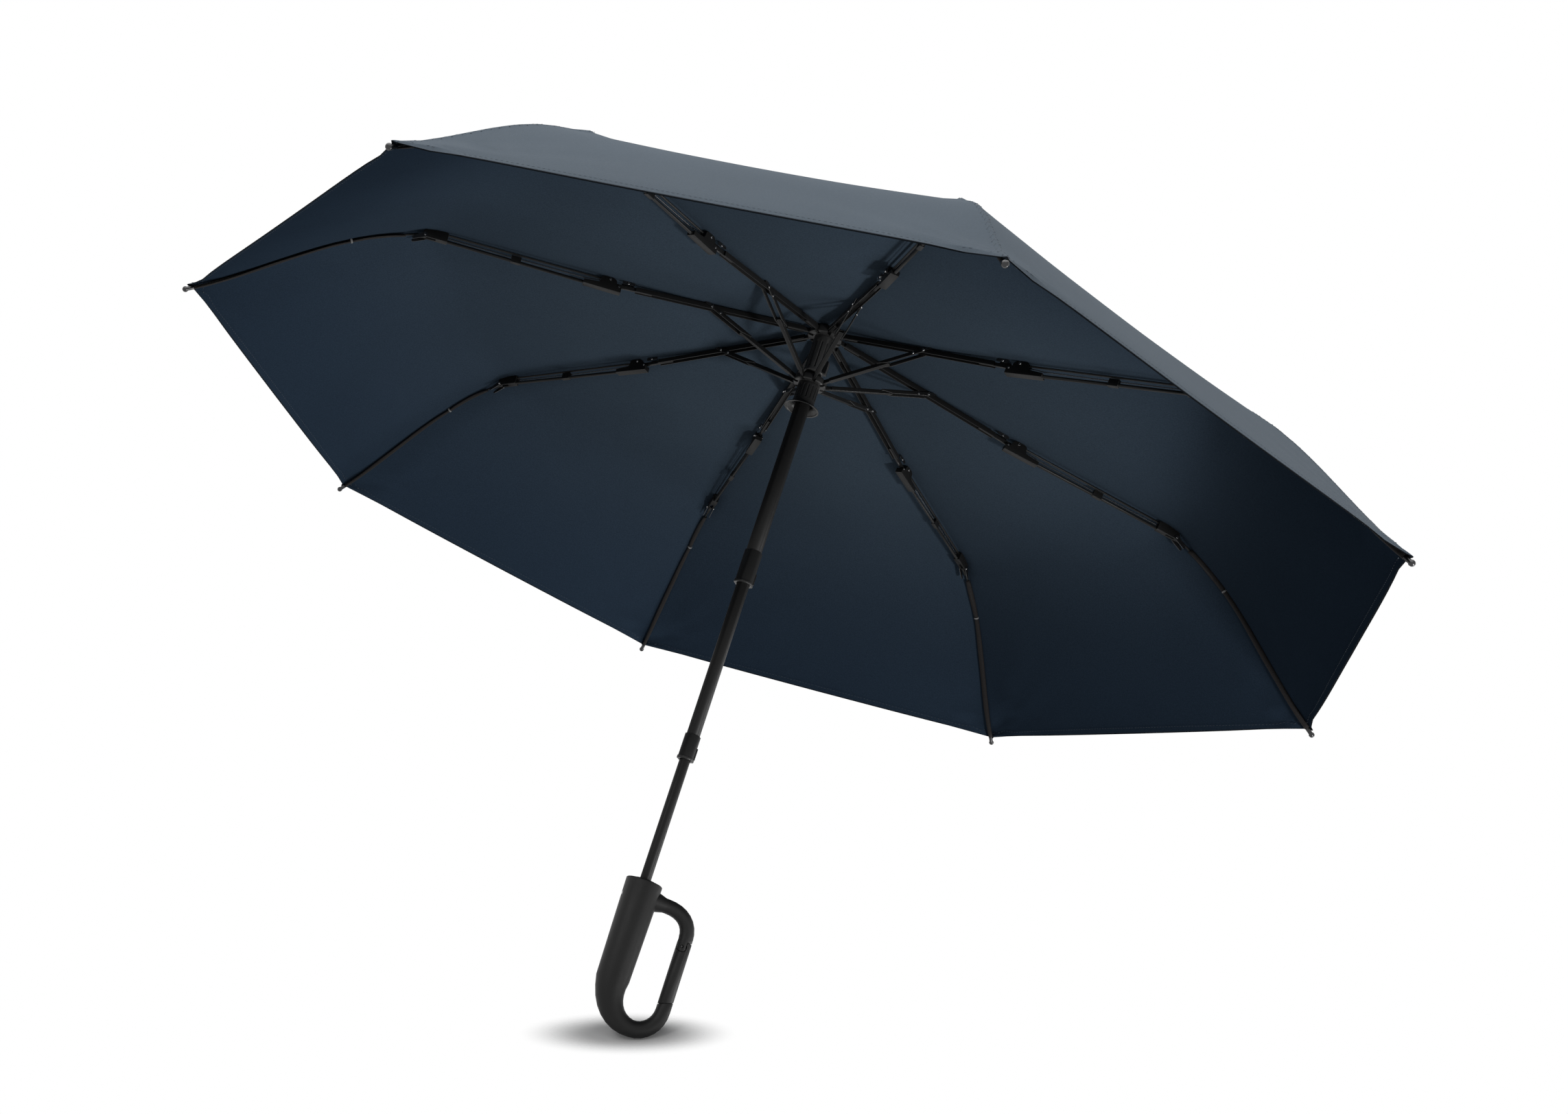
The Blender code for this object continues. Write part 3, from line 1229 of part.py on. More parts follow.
def main():
    clear_scene()
    paint = make_material("black_paint", BLACK_PAINT, PAINT_GLOSS)
    plastic = make_material("black_plastic", BLACK_PLASTIC, PLASTIC_GLOSS)
    soft_black = make_material("grip_black", GRIP_BLACK, GRIP_GLOSS)
    steel = make_material("steel", STEEL, STEEL_GLOSS)
    cloth = make_material("navy_cloth", NAVY, CLOTH_GLOSS)
    make_grip(soft_black, steel)
    make_shaft(paint, plastic, steel)
    make_crown(paint, plastic, steel)
    make_runner(plastic)
    make_ribs(paint, plastic, steel)
    make_canopy(cloth)


main()
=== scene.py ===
"""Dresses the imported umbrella: a sewn cloth canopy, rivets and link wires on its ribs, finishes for
every solid, a camera and a pale stage. It is laid out as an add-on and runs as a script."""

import json
import math

import bmesh
import bpy
import numpy as np
from bpy.props import FloatProperty, FloatVectorProperty, PointerProperty
from mathutils import Matrix, Vector


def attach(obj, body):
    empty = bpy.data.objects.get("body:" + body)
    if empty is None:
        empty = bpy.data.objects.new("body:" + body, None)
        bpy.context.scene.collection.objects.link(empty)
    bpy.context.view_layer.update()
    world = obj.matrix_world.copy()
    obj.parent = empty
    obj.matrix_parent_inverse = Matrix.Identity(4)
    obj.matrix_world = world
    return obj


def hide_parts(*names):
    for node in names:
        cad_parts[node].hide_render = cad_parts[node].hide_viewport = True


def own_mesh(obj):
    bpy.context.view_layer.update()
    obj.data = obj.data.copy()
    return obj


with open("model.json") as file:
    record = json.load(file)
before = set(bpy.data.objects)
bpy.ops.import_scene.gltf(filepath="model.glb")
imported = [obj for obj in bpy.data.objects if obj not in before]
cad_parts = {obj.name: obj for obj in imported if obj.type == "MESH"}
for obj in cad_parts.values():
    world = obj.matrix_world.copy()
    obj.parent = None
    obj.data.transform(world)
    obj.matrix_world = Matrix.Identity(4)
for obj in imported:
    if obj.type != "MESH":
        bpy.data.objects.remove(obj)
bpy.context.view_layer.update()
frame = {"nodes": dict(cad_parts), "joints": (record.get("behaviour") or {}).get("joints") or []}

bl_info = {
    "name": "Windproof umbrella",
    "version": (1, 0, 0),
    "blender": (4, 5, 0),
    "location": "View3D > Sidebar > Umbrella",
    "description": "Builds the cloth, fittings, finishes and stage of a folding umbrella",
    "category": "Object",
}

RIB_COUNT = 8
HALF_SECTOR = math.pi / RIB_COUNT
JOINTS = {joint["name"]: joint for joint in frame["joints"]}

# Linkage, in metres, as the CAD source has it
INNER_LENGTH = 0.188
MIDDLE_LENGTH = 0.167
OUTER_LENGTH = 0.210
INNER_DROOP = math.radians(10.1)
MIDDLE_DROOP = math.radians(7.2)
OUTER_DROOP = math.radians(38.7)
INNER_WIDTH = 0.0056
INNER_DEPTH = 0.0042
STRETCHER_PIVOT = 0.094
KNUCKLE_TOP = 0.0022
KNUCKLE_WIDTH = 0.0070
CORNER_BACK = 0.0088
CORNER_DROP = 0.0050
ROD_RADIUS = 0.0009
EYE_RADIUS = 0.0019
OUTER_FORK_DEPTH = 0.0100
OUTER_NECK = 0.0090
OUTER_ROD_RISE = 0.0030
OUTER_ROD_RADIUS = 0.0011
OUTER_BOW = 0.0085
BOW_POWER = 2
TIP_SOCKET_LENGTH = 0.0070
TIP_BALL_RADIUS = 0.0026
NOTCH_RADIUS = 0.0158
NOTCH_HALF = 0.0040
CAP_STEM_RADIUS = 0.0072

# The seat pad on the gate's free end
GATE_SEAM = (0.0463, 0.0, -0.0238)
GATE_END_SLOPE = math.radians(18.0)
PAD_RADIUS = 0.0055
PAD_THICKNESS = 0.00042
PAD_SIDES = 32

# Rivets, in shares of their radius: three sizes, and a head's width and rise as it closes
RIVET_SHARES = (1.0, 0.9, 0.7)
HEAD_SIDES = 12
HEAD_SHARES = ((1.0, 0.20), (0.86, 0.42), (0.62, 0.40), (0.46, 0.08))

# Wires, welds, and the angles in degrees from which an edge shows
WIRE_ROUNDNESS = 2
WELD_REACH = 0.000002
PLATE_CREASE = 40.0
ROUND_CREASE = 50.0
NO_CREASE = 180.0

# Plates on the joints: each starts and ends at a length from its joint and has two end radii
PLATE_THICKNESS = 0.0004
CHANNEL_PLATE = (-0.0215, -0.0125, (0.0013, 0.0017))
STRETCHER_PLATE = (-0.0096, 0.0072, (0.0014, 0.0011))
OUTER_PLATE = (0.0, 0.0105, (0.0024, 0.0014))
CHANNEL_PLATE_HALF = INNER_WIDTH / 2 + 0.0001
FORK_PLATE_HALF = 0.00345
OUTER_PLATE_HALF = 0.00315
CHANNEL_RIVET_BACK = 0.0165
STRETCHER_RIVET_BACK = 0.0096

# Thin wires: a length from the joint and a rise at each point of the one between the rods
WIRE_HEAD = 0.0070
ROD_WIRE_END = (MIDDLE_LENGTH - 0.018, -0.0030)
ROD_WIRE = ((0.0060, -0.0015), (0.0220, -0.0034), (0.0850, -0.0037), ROD_WIRE_END)

# Seam tapes, with their section across the rod in units of a millimetre, and thread ties
TAPE_UNIT = 0.001
TAPE_HOLD = 1.3
TAPE_ROUND = ((-1.3, 1.7), (-1.75, 0.9), (-1.75, -0.2), (-1.4, -1.1), (-0.6, -1.6), (0.4, -1.75))
TAPE_SECTION = (*TAPE_ROUND, (TAPE_HOLD, -1.65), (2.0, -1.5), (2.8, -1.15))
TAPE_START = 1.8 * OUTER_NECK
TAPE_END = OUTER_LENGTH - TIP_SOCKET_LENGTH
TAPE_WIDTH = 0.0102
TAPE_THICKNESS = 0.00025
TAPE_WAVE = 0.25
TAPE_WAVE_TURN = 90.0
TAPE_RIB_TURN = 2.0
TAPE_FULLNESS = 0.6
TAPE_ROWS = 48
TIE_PLACE = OUTER_LENGTH * 0.30
TIE_THREAD = 0.00030
TIE_RADIUS = 0.0022
TIE_PITCH = 1.7 * TIE_THREAD
TIE_SIDES = 6
TIE_STEPS = 20

# The stretched cloth: its lift off the ribs, its seams and hem, and what the tension does to it
CLOTH_LIFT = 0.0009
CLOTH_HOLE_MARGIN = 0.0006
INNER_POINT_SHARES = (0.30, 0.62)
MIDDLE_POINT_SHARES = (0.33, 0.66)
OUTER_POINT_SHARES = (0.18, 0.28, 0.39, 0.50, 0.62, 0.74, 0.86)
KNEE_POINT = 4
OUTER_KNEE_POINT = 8
CUT_SHARE = 1.05
SEAM_COLUMNS = (0.0, 0.0019, 0.0027)
SEAM_STEP_SHARE = 0.2
SEAM_RISE = 0.00035
SEAM_STITCH = SEAM_COLUMNS[1] * 0.75
SEAM_STITCH_START = 0.03
STITCH_PITCH_SHARE = 1.45
STITCH_WIDTH_SHARE = 0.95
HEM_ROW_SHARES = (0.18, 0.55)
RIM_WIDTH = 0.0012
CURL_WIDTH = 0.022
CURL_DEPTH = 0.0060
CURL_REACH = 0.050
SLACK_POWER = 0.75
CHORD_POWER = 0.5
HOLLOW_POWER = 6
DRIFT_HEIGHT = 0.0010
DRIFT_PANEL_TURN = 2.3
DRIFT_DOWN_TURN = 5.0
DRIFT_ACROSS_TURN = 1.6
PUCKER_HEIGHT = 0.0026
PUCKER_REACH = 0.055
PUCKER_WAVES = 7.0
PUCKER_ROOT = 0.003
HELD_WIDTH = 0.007
DENT_DEPTH = 0.0012
DENT_LENGTH = 0.028
DENT_REACH = 0.026
RIB_SOFTNESS = 0.004
SLACK_SOFTNESS = 0.036
NORMAL_STEP = 0.0004
SIDE_COLUMNS = 11
ZONE_ROWS = (18, 16, 20)
ZONES = ("inner", "middle", "outer")
THREAD_PITCH = 0.00042
# Painted shade on the cloth deepens between these lengths along it, in metres
SHADE_START = 0.16
SHADE_END = 0.58

# The stage. Camera and floor directions come from the camera fit to the photograph.
CAMERA_PLACE = Vector((-0.2372, -1.4277, -0.1627))
CAMERA_RIGHT = Vector((0.9273, -0.1969, 0.3184)).normalized()
CAMERA_UP = Vector((-0.3646, -0.2814, 0.8876))
CAMERA_SHIFT = (0.0966, -0.0230)
SENSOR_WIDTH = 36.0
CLIP_START = 0.01
FLOOR_SIDES = 64
FLOOR_NORMAL = Vector((-0.3743, -0.4854, 0.7897)).normalized()
FLOOR_ACROSS = Vector((0.1377, -0.0293, 0.0472))
FLOOR_REST = (0.0266, 0.0096, -0.0547)
# The floor's painted shadow: an ellipse of this size, nearly opaque over its core and fading out, of this
# grey
SHADE_SIZE = (0.088, 0.035)
SHADE_CORE = 0.30
SHADE_DEPTH = 0.95
SHADE_COLOUR = (0.52, 0.52, 0.52)
LIT_MIDDLE = Vector((0.0, 0.0, 0.3))
OVERHEAD_RISE = 1.5
OVERHEAD_SET_BACK = 0.1
LOW_LIGHT_REACH = Vector((2.00, 0.20, -0.65))
OVERHEAD_LAMP = {"shape": "RECTANGLE", "size": 2.4, "size_y": 2.0}
LOW_LAMP = {"shape": "RECTANGLE", "size": 0.9, "size_y": 1.2}
GRIP_LIGHT_PLACE = (-0.50, -0.42, 0.16)
GRIP_LIT = (0.0, 0.0, 0.03)
SPOT = {"spot_blend": 0.6, "shadow_soft_size": 0.08}
GRIP_LAMP = {"spot_size": math.radians(32.0), **SPOT}
HUB_LIGHT_PLACE = (0.90, -0.90, -0.20)
HUB_LIT = (0.0, 0.2, 0.56)
HUB_LAMP = {"spot_size": math.radians(46.0), **SPOT}


def pivot(name):
    """A joint's pivot on the rib that lies along +X, as (radius, height)."""
    place = JOINTS[name]["pos_m"]
    return (place[0], place[2])


NOTCH = pivot("inner_hinge_1")
KNEE = pivot("knee_hinge_1")
OUTER_KNEE = pivot("outer_hinge_1")
RUNNER = pivot("stretcher_hinge_1")


def along(start, length, droop, rise=0.0):
    """The point a length along a drooping member, raised square to it."""
    out = start[0] + length * math.cos(droop) + rise * math.sin(droop)
    up = start[1] - length * math.sin(droop) + rise * math.cos(droop)
    return (out, up)


STRETCHER_HEAD = along(NOTCH, STRETCHER_PIVOT, INNER_DROOP)
STRETCHER_DROOP = math.atan2(STRETCHER_HEAD[1] - RUNNER[1], STRETCHER_HEAD[0] - RUNNER[0])
LINK_CORNER = along(KNEE, -CORNER_BACK, MIDDLE_DROOP, -CORNER_DROP)


def outer_rod_height(place):
    """How high the bowed rod's middle lies over the line from its pivot to the tip."""
    bow_end = OUTER_LENGTH - 2 * TIP_SOCKET_LENGTH
    share = min(max((place - OUTER_NECK) / (bow_end - OUTER_NECK), 0), 1)
    peak_share = 1 / (BOW_POWER + 1)
    peak = peak_share * (1 - peak_share) ** BOW_POWER
    return OUTER_ROD_RISE + OUTER_BOW * share * (1 - share) ** BOW_POWER / peak


# Settings that a user would change


class UmbrellaCloth(bpy.types.PropertyGroup):
    """The cloth's sizes and colours"""

    thickness: FloatProperty(name="Thickness", description="Cloth thickness", default=0.0004, unit="LENGTH")
    sag: FloatProperty(
        name="Sag", description="How far a panel dips between its ribs", default=0.0080, unit="LENGTH"
    )
    hollow: FloatProperty(
        name="Rim hollow", description="How far the rim curves in", default=0.0030, unit="LENGTH"
    )
    hem: FloatProperty(name="Hem", description="Width of the folded hem", default=0.0075, unit="LENGTH")
    stitch: FloatProperty(name="Stitch", description="Length of one stitch", default=0.0026, unit="LENGTH")
    outside: FloatVectorProperty(
        name="Outside", description="Cloth colour outside", default=(0.060, 0.081, 0.104), subtype="COLOR"
    )
    inside: FloatVectorProperty(
        name="Inside", description="Cloth colour inside", default=(0.035, 0.050, 0.068), subtype="COLOR"
    )
    thread: FloatVectorProperty(
        name="Thread", description="Stitching colour", default=(0.022, 0.030, 0.042), subtype="COLOR"
    )


class UmbrellaFittings(bpy.types.PropertyGroup):
    """The fittings' sizes and colours"""

    rivet_radius: FloatProperty(
        name="Rivet radius", description="Radius of a rivet's head", default=0.00125, unit="LENGTH"
    )
    wire_radius: FloatProperty(
        name="Link wire radius", description="Radius of a link wire", default=0.00042, unit="LENGTH"
    )
    paint: FloatVectorProperty(
        name="Paint", description="Painted steel", default=(0.0095, 0.0095, 0.0095), subtype="COLOR"
    )
    plastic: FloatVectorProperty(
        name="Plastic", description="Moulded fittings", default=(0.020, 0.020, 0.020), subtype="COLOR"
    )
    grip: FloatVectorProperty(
        name="Grip", description="Soft grip", default=(0.0095, 0.0095, 0.0095), subtype="COLOR"
    )
    steel: FloatVectorProperty(
        name="Steel", description="Plated steel", default=(0.42, 0.42, 0.43), subtype="COLOR"
    )


class UmbrellaStage(bpy.types.PropertyGroup):
    """The camera, the lights and the floor"""

    lens: FloatProperty(
        name="Lens", description="Focal length in millimetres on a 36 mm sensor", default=40.93
    )
    key: FloatProperty(name="Key light", description="Power of the overhead light in watts", default=28.5)
    fill: FloatProperty(
        name="Fill light", description="Power of the low light at the right in watts", default=24.0
    )
    grip: FloatProperty(
        name="Grip light", description="Power of the spot on the grip in watts", default=3.0
    )
    hub: FloatProperty(name="Hub light", description="Power of the spot on the hub in watts", default=45.0)
    world: FloatProperty(name="World", description="Strength of the surrounding light", default=0.30)
    floor: FloatProperty(
        name="Floor radius", description="Radius of the pale floor", default=0.30, unit="LENGTH"
    )


# Shader expressions


class Wire:
    """A shader output that takes part in sums. Each operator adds a Math node."""

    def __init__(self, tree, socket):
        self.tree = tree
        self.socket = socket

    def maths(self, operation, first, second=0.0):
        inputs = {0: first, 1: second}
        return self.tree.node("ShaderNodeMath", {"operation": operation}, inputs)

    def __add__(self, other):
        return self.maths("ADD", self, other)

    def __sub__(self, other):
        return self.maths("SUBTRACT", self, other)

    def __mul__(self, other):
        return self.maths("MULTIPLY", self, other)

    def __radd__(self, other):
        return self.maths("ADD", other, self)

    def __rmul__(self, other):
        return self.maths("MULTIPLY", other, self)


class Tree:
    """A node tree that grows by expressions."""

    def __init__(self, tree):
        self.tree = tree

    def node(self, kind, settings=None, inputs=None, output=0):
        """Adds a node. Settings are set first, then the values or links of its sockets."""
        made = self.tree.nodes.new(kind)
        for key, value in (settings or {}).items():
            setattr(made, key, value)
        for key, value in (inputs or {}).items():
            self.join(made.inputs[key], value)
        return Wire(self, made.outputs[output])

    def join(self, socket, value):
        if isinstance(value, Wire):
            self.tree.links.new(value.socket, socket)
        elif hasattr(value, "__len__") and len(value) == 3 and socket.type == "RGBA":
            socket.default_value = (*value, 1.0)
        else:
            socket.default_value = value


class Finish(Tree):
    """A material with one Principled shader."""

    def __init__(self, name):
        self.material = bpy.data.materials.new(name)
        self.material.use_nodes = True
        super().__init__(self.material.node_tree)
        self.shader = self.tree.nodes["Principled BSDF"]

    def place(self, scale=(1.0, 1.0, 1.0), coordinates=None):
        """Object coordinates or others, stretched by a Mapping node."""
        coordinates = coordinates or self.node("ShaderNodeTexCoord", output="Object")
        return self.node("ShaderNodeMapping", None, {"Vector": coordinates, "Scale": scale})

    def noise(self, vector, scale, detail=2.0, roughness=0.5):
        inputs = {"Vector": vector, "Scale": scale, "Detail": detail, "Roughness": roughness}
        return self.node("ShaderNodeTexNoise", None, inputs, "Fac")

    def mix(self, factor, first, second):
        """A blend of two colours."""
        return self.node("ShaderNodeMix", {"data_type": "RGBA"}, {0: factor, 6: first, 7: second}, 2)

    def bump(self, height, strength, distance):
        inputs = {"Height": height, "Strength": strength, "Distance": distance}
        return self.node("ShaderNodeBump", None, inputs, "Normal")

    def set(self, **values):
        """Sets the shader's sockets. An underscore in a name stands for a space."""
        for key, value in values.items():
            self.join(self.shader.inputs[key.replace("_", " ")], value)
        return self.material


def lighter(colour, share):
    """A colour times a share, which darkens it below 1."""
    return tuple(channel * share for channel in colour)


def cloth_finish(name, colour, rim_shade_shares, sheen, shine):
    """Dense plain weave with slubs. It darkens from the crown to the rim, a little outside and more inside;
    this darkening is painted shade.
    """
    finish = Finish(name)
    uv = finish.node("ShaderNodeUVMap", {"uv_map": "weave"})
    across = finish.node("ShaderNodeSeparateXYZ", None, {0: uv}, "X")
    down = finish.node("ShaderNodeSeparateXYZ", None, {0: uv}, "Y")
    threads = 2 * math.pi / THREAD_PITCH
    weave = across.maths("SINE", across * threads) * down.maths("SINE", down * threads)
    slub = finish.noise(finish.place((900.0, 60.0, 1.0), uv), 1.0, 3.0)
    cloud = finish.noise(finish.place(), 9.0, 3.0)
    grain = finish.noise(finish.place(), 800.0, 3.0, 0.7)
    # Painted shade: between SHADE_START and SHADE_END along the cloth, the colour darkens to its rim shares
    painted_rim_shade = finish.node(
        "ShaderNodeMapRange",
        {"interpolation_type": "SMOOTHSTEP"},
        {"Value": down, "From Min": SHADE_START, "From Max": SHADE_END, "To Min": 0.0, "To Max": 1.0},
    )
    shade = 0.30 * cloud + 1.50 * grain + 0.12 * slub - 0.60
    # The colour at the rim, darkened as painted shade
    edge = tuple(channel * share for channel, share in zip(colour, rim_shade_shares))
    body = finish.mix(
        painted_rim_shade,
        finish.mix(shade, lighter(colour, 0.80), lighter(colour, 1.32)),
        finish.mix(shade, lighter(edge, 0.80), lighter(edge, 1.32)),
    )
    height = 0.6 * weave + 0.5 * slub + 0.4 * grain
    return finish.set(
        Base_Color=body,
        Roughness=0.72 + 0.14 * grain,
        Specular_IOR_Level=shine,
        Sheen_Weight=sheen,
        Sheen_Roughness=0.5,
        Normal=finish.bump(height, 0.25, 0.00012),
    )


def tape_finish(name, colour):
    """Dull woven tape with a coarse, uneven face."""
    finish = Finish(name)
    grain = finish.noise(finish.place(), 900.0, 3.0, 0.7)
    body = finish.mix(grain, lighter(colour, 0.5), lighter(colour, 1.9))
    return finish.set(
        Base_Color=body, Roughness=0.8, Specular_IOR_Level=0.12, Normal=finish.bump(grain, 0.4, 0.0001)
    )


def thread_finish(name, colour):
    """Twisted sewing thread."""
    finish = Finish(name)
    twist = finish.noise(finish.place(), 2600.0)
    body = finish.mix(twist, lighter(colour, 0.7), lighter(colour, 1.5))
    return finish.set(Base_Color=body, Roughness=0.7, Normal=finish.bump(twist, 0.4, 0.0001))


def moulded_finish(name, colour, grain_scale, grain_depth, roughness, share=1.35):
    """Moulded plastic: a fine spark-eroded grain and slight cloudiness."""
    finish = Finish(name)
    grain = finish.noise(finish.place(), grain_scale, 3.0, 0.6)
    cloud = finish.noise(finish.place(), 38.0, 2.0)
    scuffs = finish.noise(finish.place((1.0, 1.0, 0.25)), 420.0, 4.0, 0.65)
    body = finish.mix(0.55 * grain + 0.45 * cloud, lighter(colour, 2 - share), lighter(colour, share))
    return finish.set(
        Base_Color=body,
        Roughness=roughness + 0.16 * (scuffs - 0.5),
        Specular_IOR_Level=0.20,
        Normal=finish.bump(grain, 0.45, grain_depth),
    )


def painted_finish(name, colour):
    """Satin paint on drawn steel, with brighter wear in streaks along its length."""
    finish = Finish(name)
    drawn = finish.noise(finish.place((1.0, 1.0, 0.08)), 900.0, 3.0, 0.6)
    wear_and_highlight = finish.noise(finish.place(), 120.0, 4.0, 0.7)
    worn_range = {"Value": wear_and_highlight, "From Min": 0.62, "From Max": 0.78, "To Min": 0.0, "To Max": 0.6}
    wear = finish.node("ShaderNodeMapRange", None, worn_range)
    body = finish.mix(wear * drawn, colour, lighter(colour, 3.2))
    return finish.set(
        Base_Color=body,
        Roughness=0.34 + 0.14 * drawn,
        Specular_IOR_Level=0.13,
        Normal=finish.bump(drawn, 0.15, 0.00004),
    )


def edge_highlight_finish(name, colour):
    """Painted highlight on the eased edges of painted steel: a lighter, part-metal grey that stands in for
    their glints.
    """
    finish = Finish(name)
    # Mottling of the painted edge highlight
    wear_and_highlight = finish.noise(finish.place(), 260.0, 3.0, 0.6)
    body = finish.mix(wear_and_highlight, lighter(colour, 2.2), lighter(colour, 9.0))
    return finish.set(Base_Color=body, Metallic=0.6, Roughness=0.34 + 0.12 * wear_and_highlight)


def plated_finish(name, colour, roughness):
    """Bright plate with fine turning marks."""
    finish = Finish(name)
    marks = finish.noise(finish.place((1.0, 1.0, 6.0)), 700.0, 3.0, 0.6)
    body = finish.mix(marks, lighter(colour, 0.75), lighter(colour, 1.2))
    return finish.set(
        Base_Color=body,
        Metallic=1.0,
        Roughness=roughness + 0.12 * marks,
        Normal=finish.bump(marks, 0.12, 0.00003),
    )


def finish_named(name):
    """A finish that an earlier step made, or a new one."""
    found = bpy.data.materials.get(name)
    if found:
        return found
    cloth = bpy.context.scene.umbrella_cloth
    fittings = bpy.context.scene.umbrella_fittings
    paint, plastic, steel = fittings.paint, fittings.plastic, fittings.steel
    makers = {
        # For the cloth, the shares after the colour darken it at the rim: painted shade
        "cloth_outside": (cloth_finish, cloth.outside, (0.93, 0.93, 0.93), 0.03, 0.15),
        "cloth_inside": (cloth_finish, cloth.inside, (0.50, 0.58, 0.68), 0.0, 0.0),
        "hem_cloth": (cloth_finish, lighter(cloth.inside, 0.22), (1.0, 1.0, 1.0), 0.0, 0.05),
        "sewing_thread": (thread_finish, cloth.thread),
        "tie_thread": (thread_finish, (0.16, 0.16, 0.16)),
        "black_tape": (tape_finish, (0.013, 0.012, 0.012)),
        "dark_seam": (moulded_finish, (0.004, 0.004, 0.004), 900.0, 0.00006, 0.7),
        "soft_grip": (moulded_finish, fittings.grip, 1500.0, 0.00018, 0.50, 1.30),
        "moulded_black": (moulded_finish, plastic, 900.0, 0.00006, 0.36),
        # The notch barrel's plastic, 2.2 times lighter than the other mouldings: painted light
        "barrel_black": (moulded_finish, lighter(plastic, 2.2), 900.0, 0.00006, 0.30),
        "satin_paint": (painted_finish, paint),
        "worn_edge": (edge_highlight_finish, paint),
        "grey_plate": (plated_finish, lighter(steel, 0.18), 0.34),
        "bright_plate": (plated_finish, steel, 0.22),
        "dark_plate": (plated_finish, lighter(steel, 0.12), 0.20),
    }
    maker, *values = makers[name]
    return maker(name, *values)


# Mesh helpers


def linked(name, data):
    """A new object in the scene."""
    made = bpy.data.objects.new(name, data)
    bpy.context.scene.collection.objects.link(made)
    return made


def new_piece(name, mesh, materials, body):
    """A piece with its finishes, riding a body."""
    piece = linked(name, mesh)
    for material in materials:
        mesh.materials.append(finish_named(material))
    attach(piece, body)
    return piece


def finish_mesh(bm, name, angle):
    """Closes a bmesh into a mesh that is smooth up to an angle in degrees."""
    bmesh.ops.recalc_face_normals(bm, faces=bm.faces)
    mesh = bpy.data.meshes.new(name)
    bm.to_mesh(mesh)
    bm.free()
    mesh.shade_smooth()
    mesh.set_sharp_from_angle(angle=math.radians(angle))
    return mesh


def turned(rib):
    """The turn from the rib along +X to another rib."""
    return Matrix.Rotation(2 * HALF_SECTOR * rib, 4, "Z")


def laid(start, droop):
    """Where a member drawn along +X goes at azimuth 0."""
    return Matrix.Translation((start[0], 0, start[1])) @ Matrix.Rotation(droop, 4, "Y")


def edges_at(verts):
    """The edges at some vertices, each once and in order."""
    return list(dict.fromkeys(edge for vert in verts for edge in vert.link_edges))


def add_rivet(bm, place, half_width, radius):
    """A rolled head with a dark eye on each side of a joint, at half the width from its middle. The eye is
    a shallow dip whose black finish is painted shade for the rivet's hollow.
    """
    for side in (-1, 1):
        ring = bmesh.ops.create_circle(bm, segments=HEAD_SIDES, radius=radius)["verts"]
        edges = edges_at(ring)
        whole = list(ring)
        for width, rise in HEAD_SHARES:
            grown = bmesh.ops.extrude_edge_only(bm, edges=edges)["geom"]
            verts = [item for item in grown if isinstance(item, bmesh.types.BMVert)]
            edges = [item for item in grown if isinstance(item, bmesh.types.BMEdge)]
            height = radius * rise - verts[0].co.z
            share = radius * width / max(vert.co.xy.length for vert in verts)
            bmesh.ops.translate(bm, verts=verts, vec=(0, 0, height))
            bmesh.ops.scale(bm, verts=verts, vec=(share, share, 1.0))
            whole += verts
        bmesh.ops.contextual_create(bm, geom=edges)
        # The eye's black finish is painted shade in the rivet's hollow
        for face in {face for vert in verts for face in vert.link_faces}:
            face.material_index = 1
        out = Matrix.Translation((0, side * half_width, 0))
        move = place @ out @ Matrix.Rotation(-side * math.pi / 2, 4, "X")
        bmesh.ops.transform(bm, matrix=move, verts=whole)


def add_strap(bm, place, start, end, radii, half_width):
    """A flat plate with round ends on each side of a member, between two lengths along it."""
    upright = Matrix.Rotation(math.pi / 2, 4, "X")
    for side in (-1, 1):
        verts = []
        for depth in (half_width, half_width + PLATE_THICKNESS):
            for centre, radius in zip((start, end), radii):
                move = Matrix.Translation((centre, side * depth, 0)) @ upright
                ring = bmesh.ops.create_circle(bm, segments=HEAD_SIDES, radius=radius, matrix=move)
                verts += ring["verts"]
        hull = bmesh.ops.convex_hull(bm, input=verts)
        loose = [item for item in hull["geom_interior"] + hull["geom_unused"] if item.is_valid]
        spare = [item for item in loose if isinstance(item, bmesh.types.BMVert)]
        bmesh.ops.transform(bm, matrix=place, verts=verts)
        bmesh.ops.delete(bm, geom=spare, context="VERTS")


def wire_mesh(name, points, radius):
    """A round wire along the points, with closed ends."""
    curve = bpy.data.curves.new(name, "CURVE")
    curve.dimensions = "3D"
    curve.bevel_depth = radius
    curve.bevel_resolution = WIRE_ROUNDNESS
    curve.use_fill_caps = True
    spline = curve.splines.new("POLY")
    spline.points.add(len(points) - 1)
    for target, point in zip(spline.points, points):
        target.co = (*point, 1.0)
    guide = linked(name, curve)
    bpy.context.view_layer.update()
    graph = bpy.context.evaluated_depsgraph_get()
    mesh = bpy.data.meshes.new_from_object(guide.evaluated_get(graph), depsgraph=graph)
    bpy.data.objects.remove(guide, do_unlink=True)
    bm = bmesh.new()
    bm.from_mesh(mesh)
    bmesh.ops.remove_doubles(bm, verts=bm.verts, dist=WELD_REACH)
    return finish_mesh(bm, name, ROUND_CREASE)


# The canopy's surface


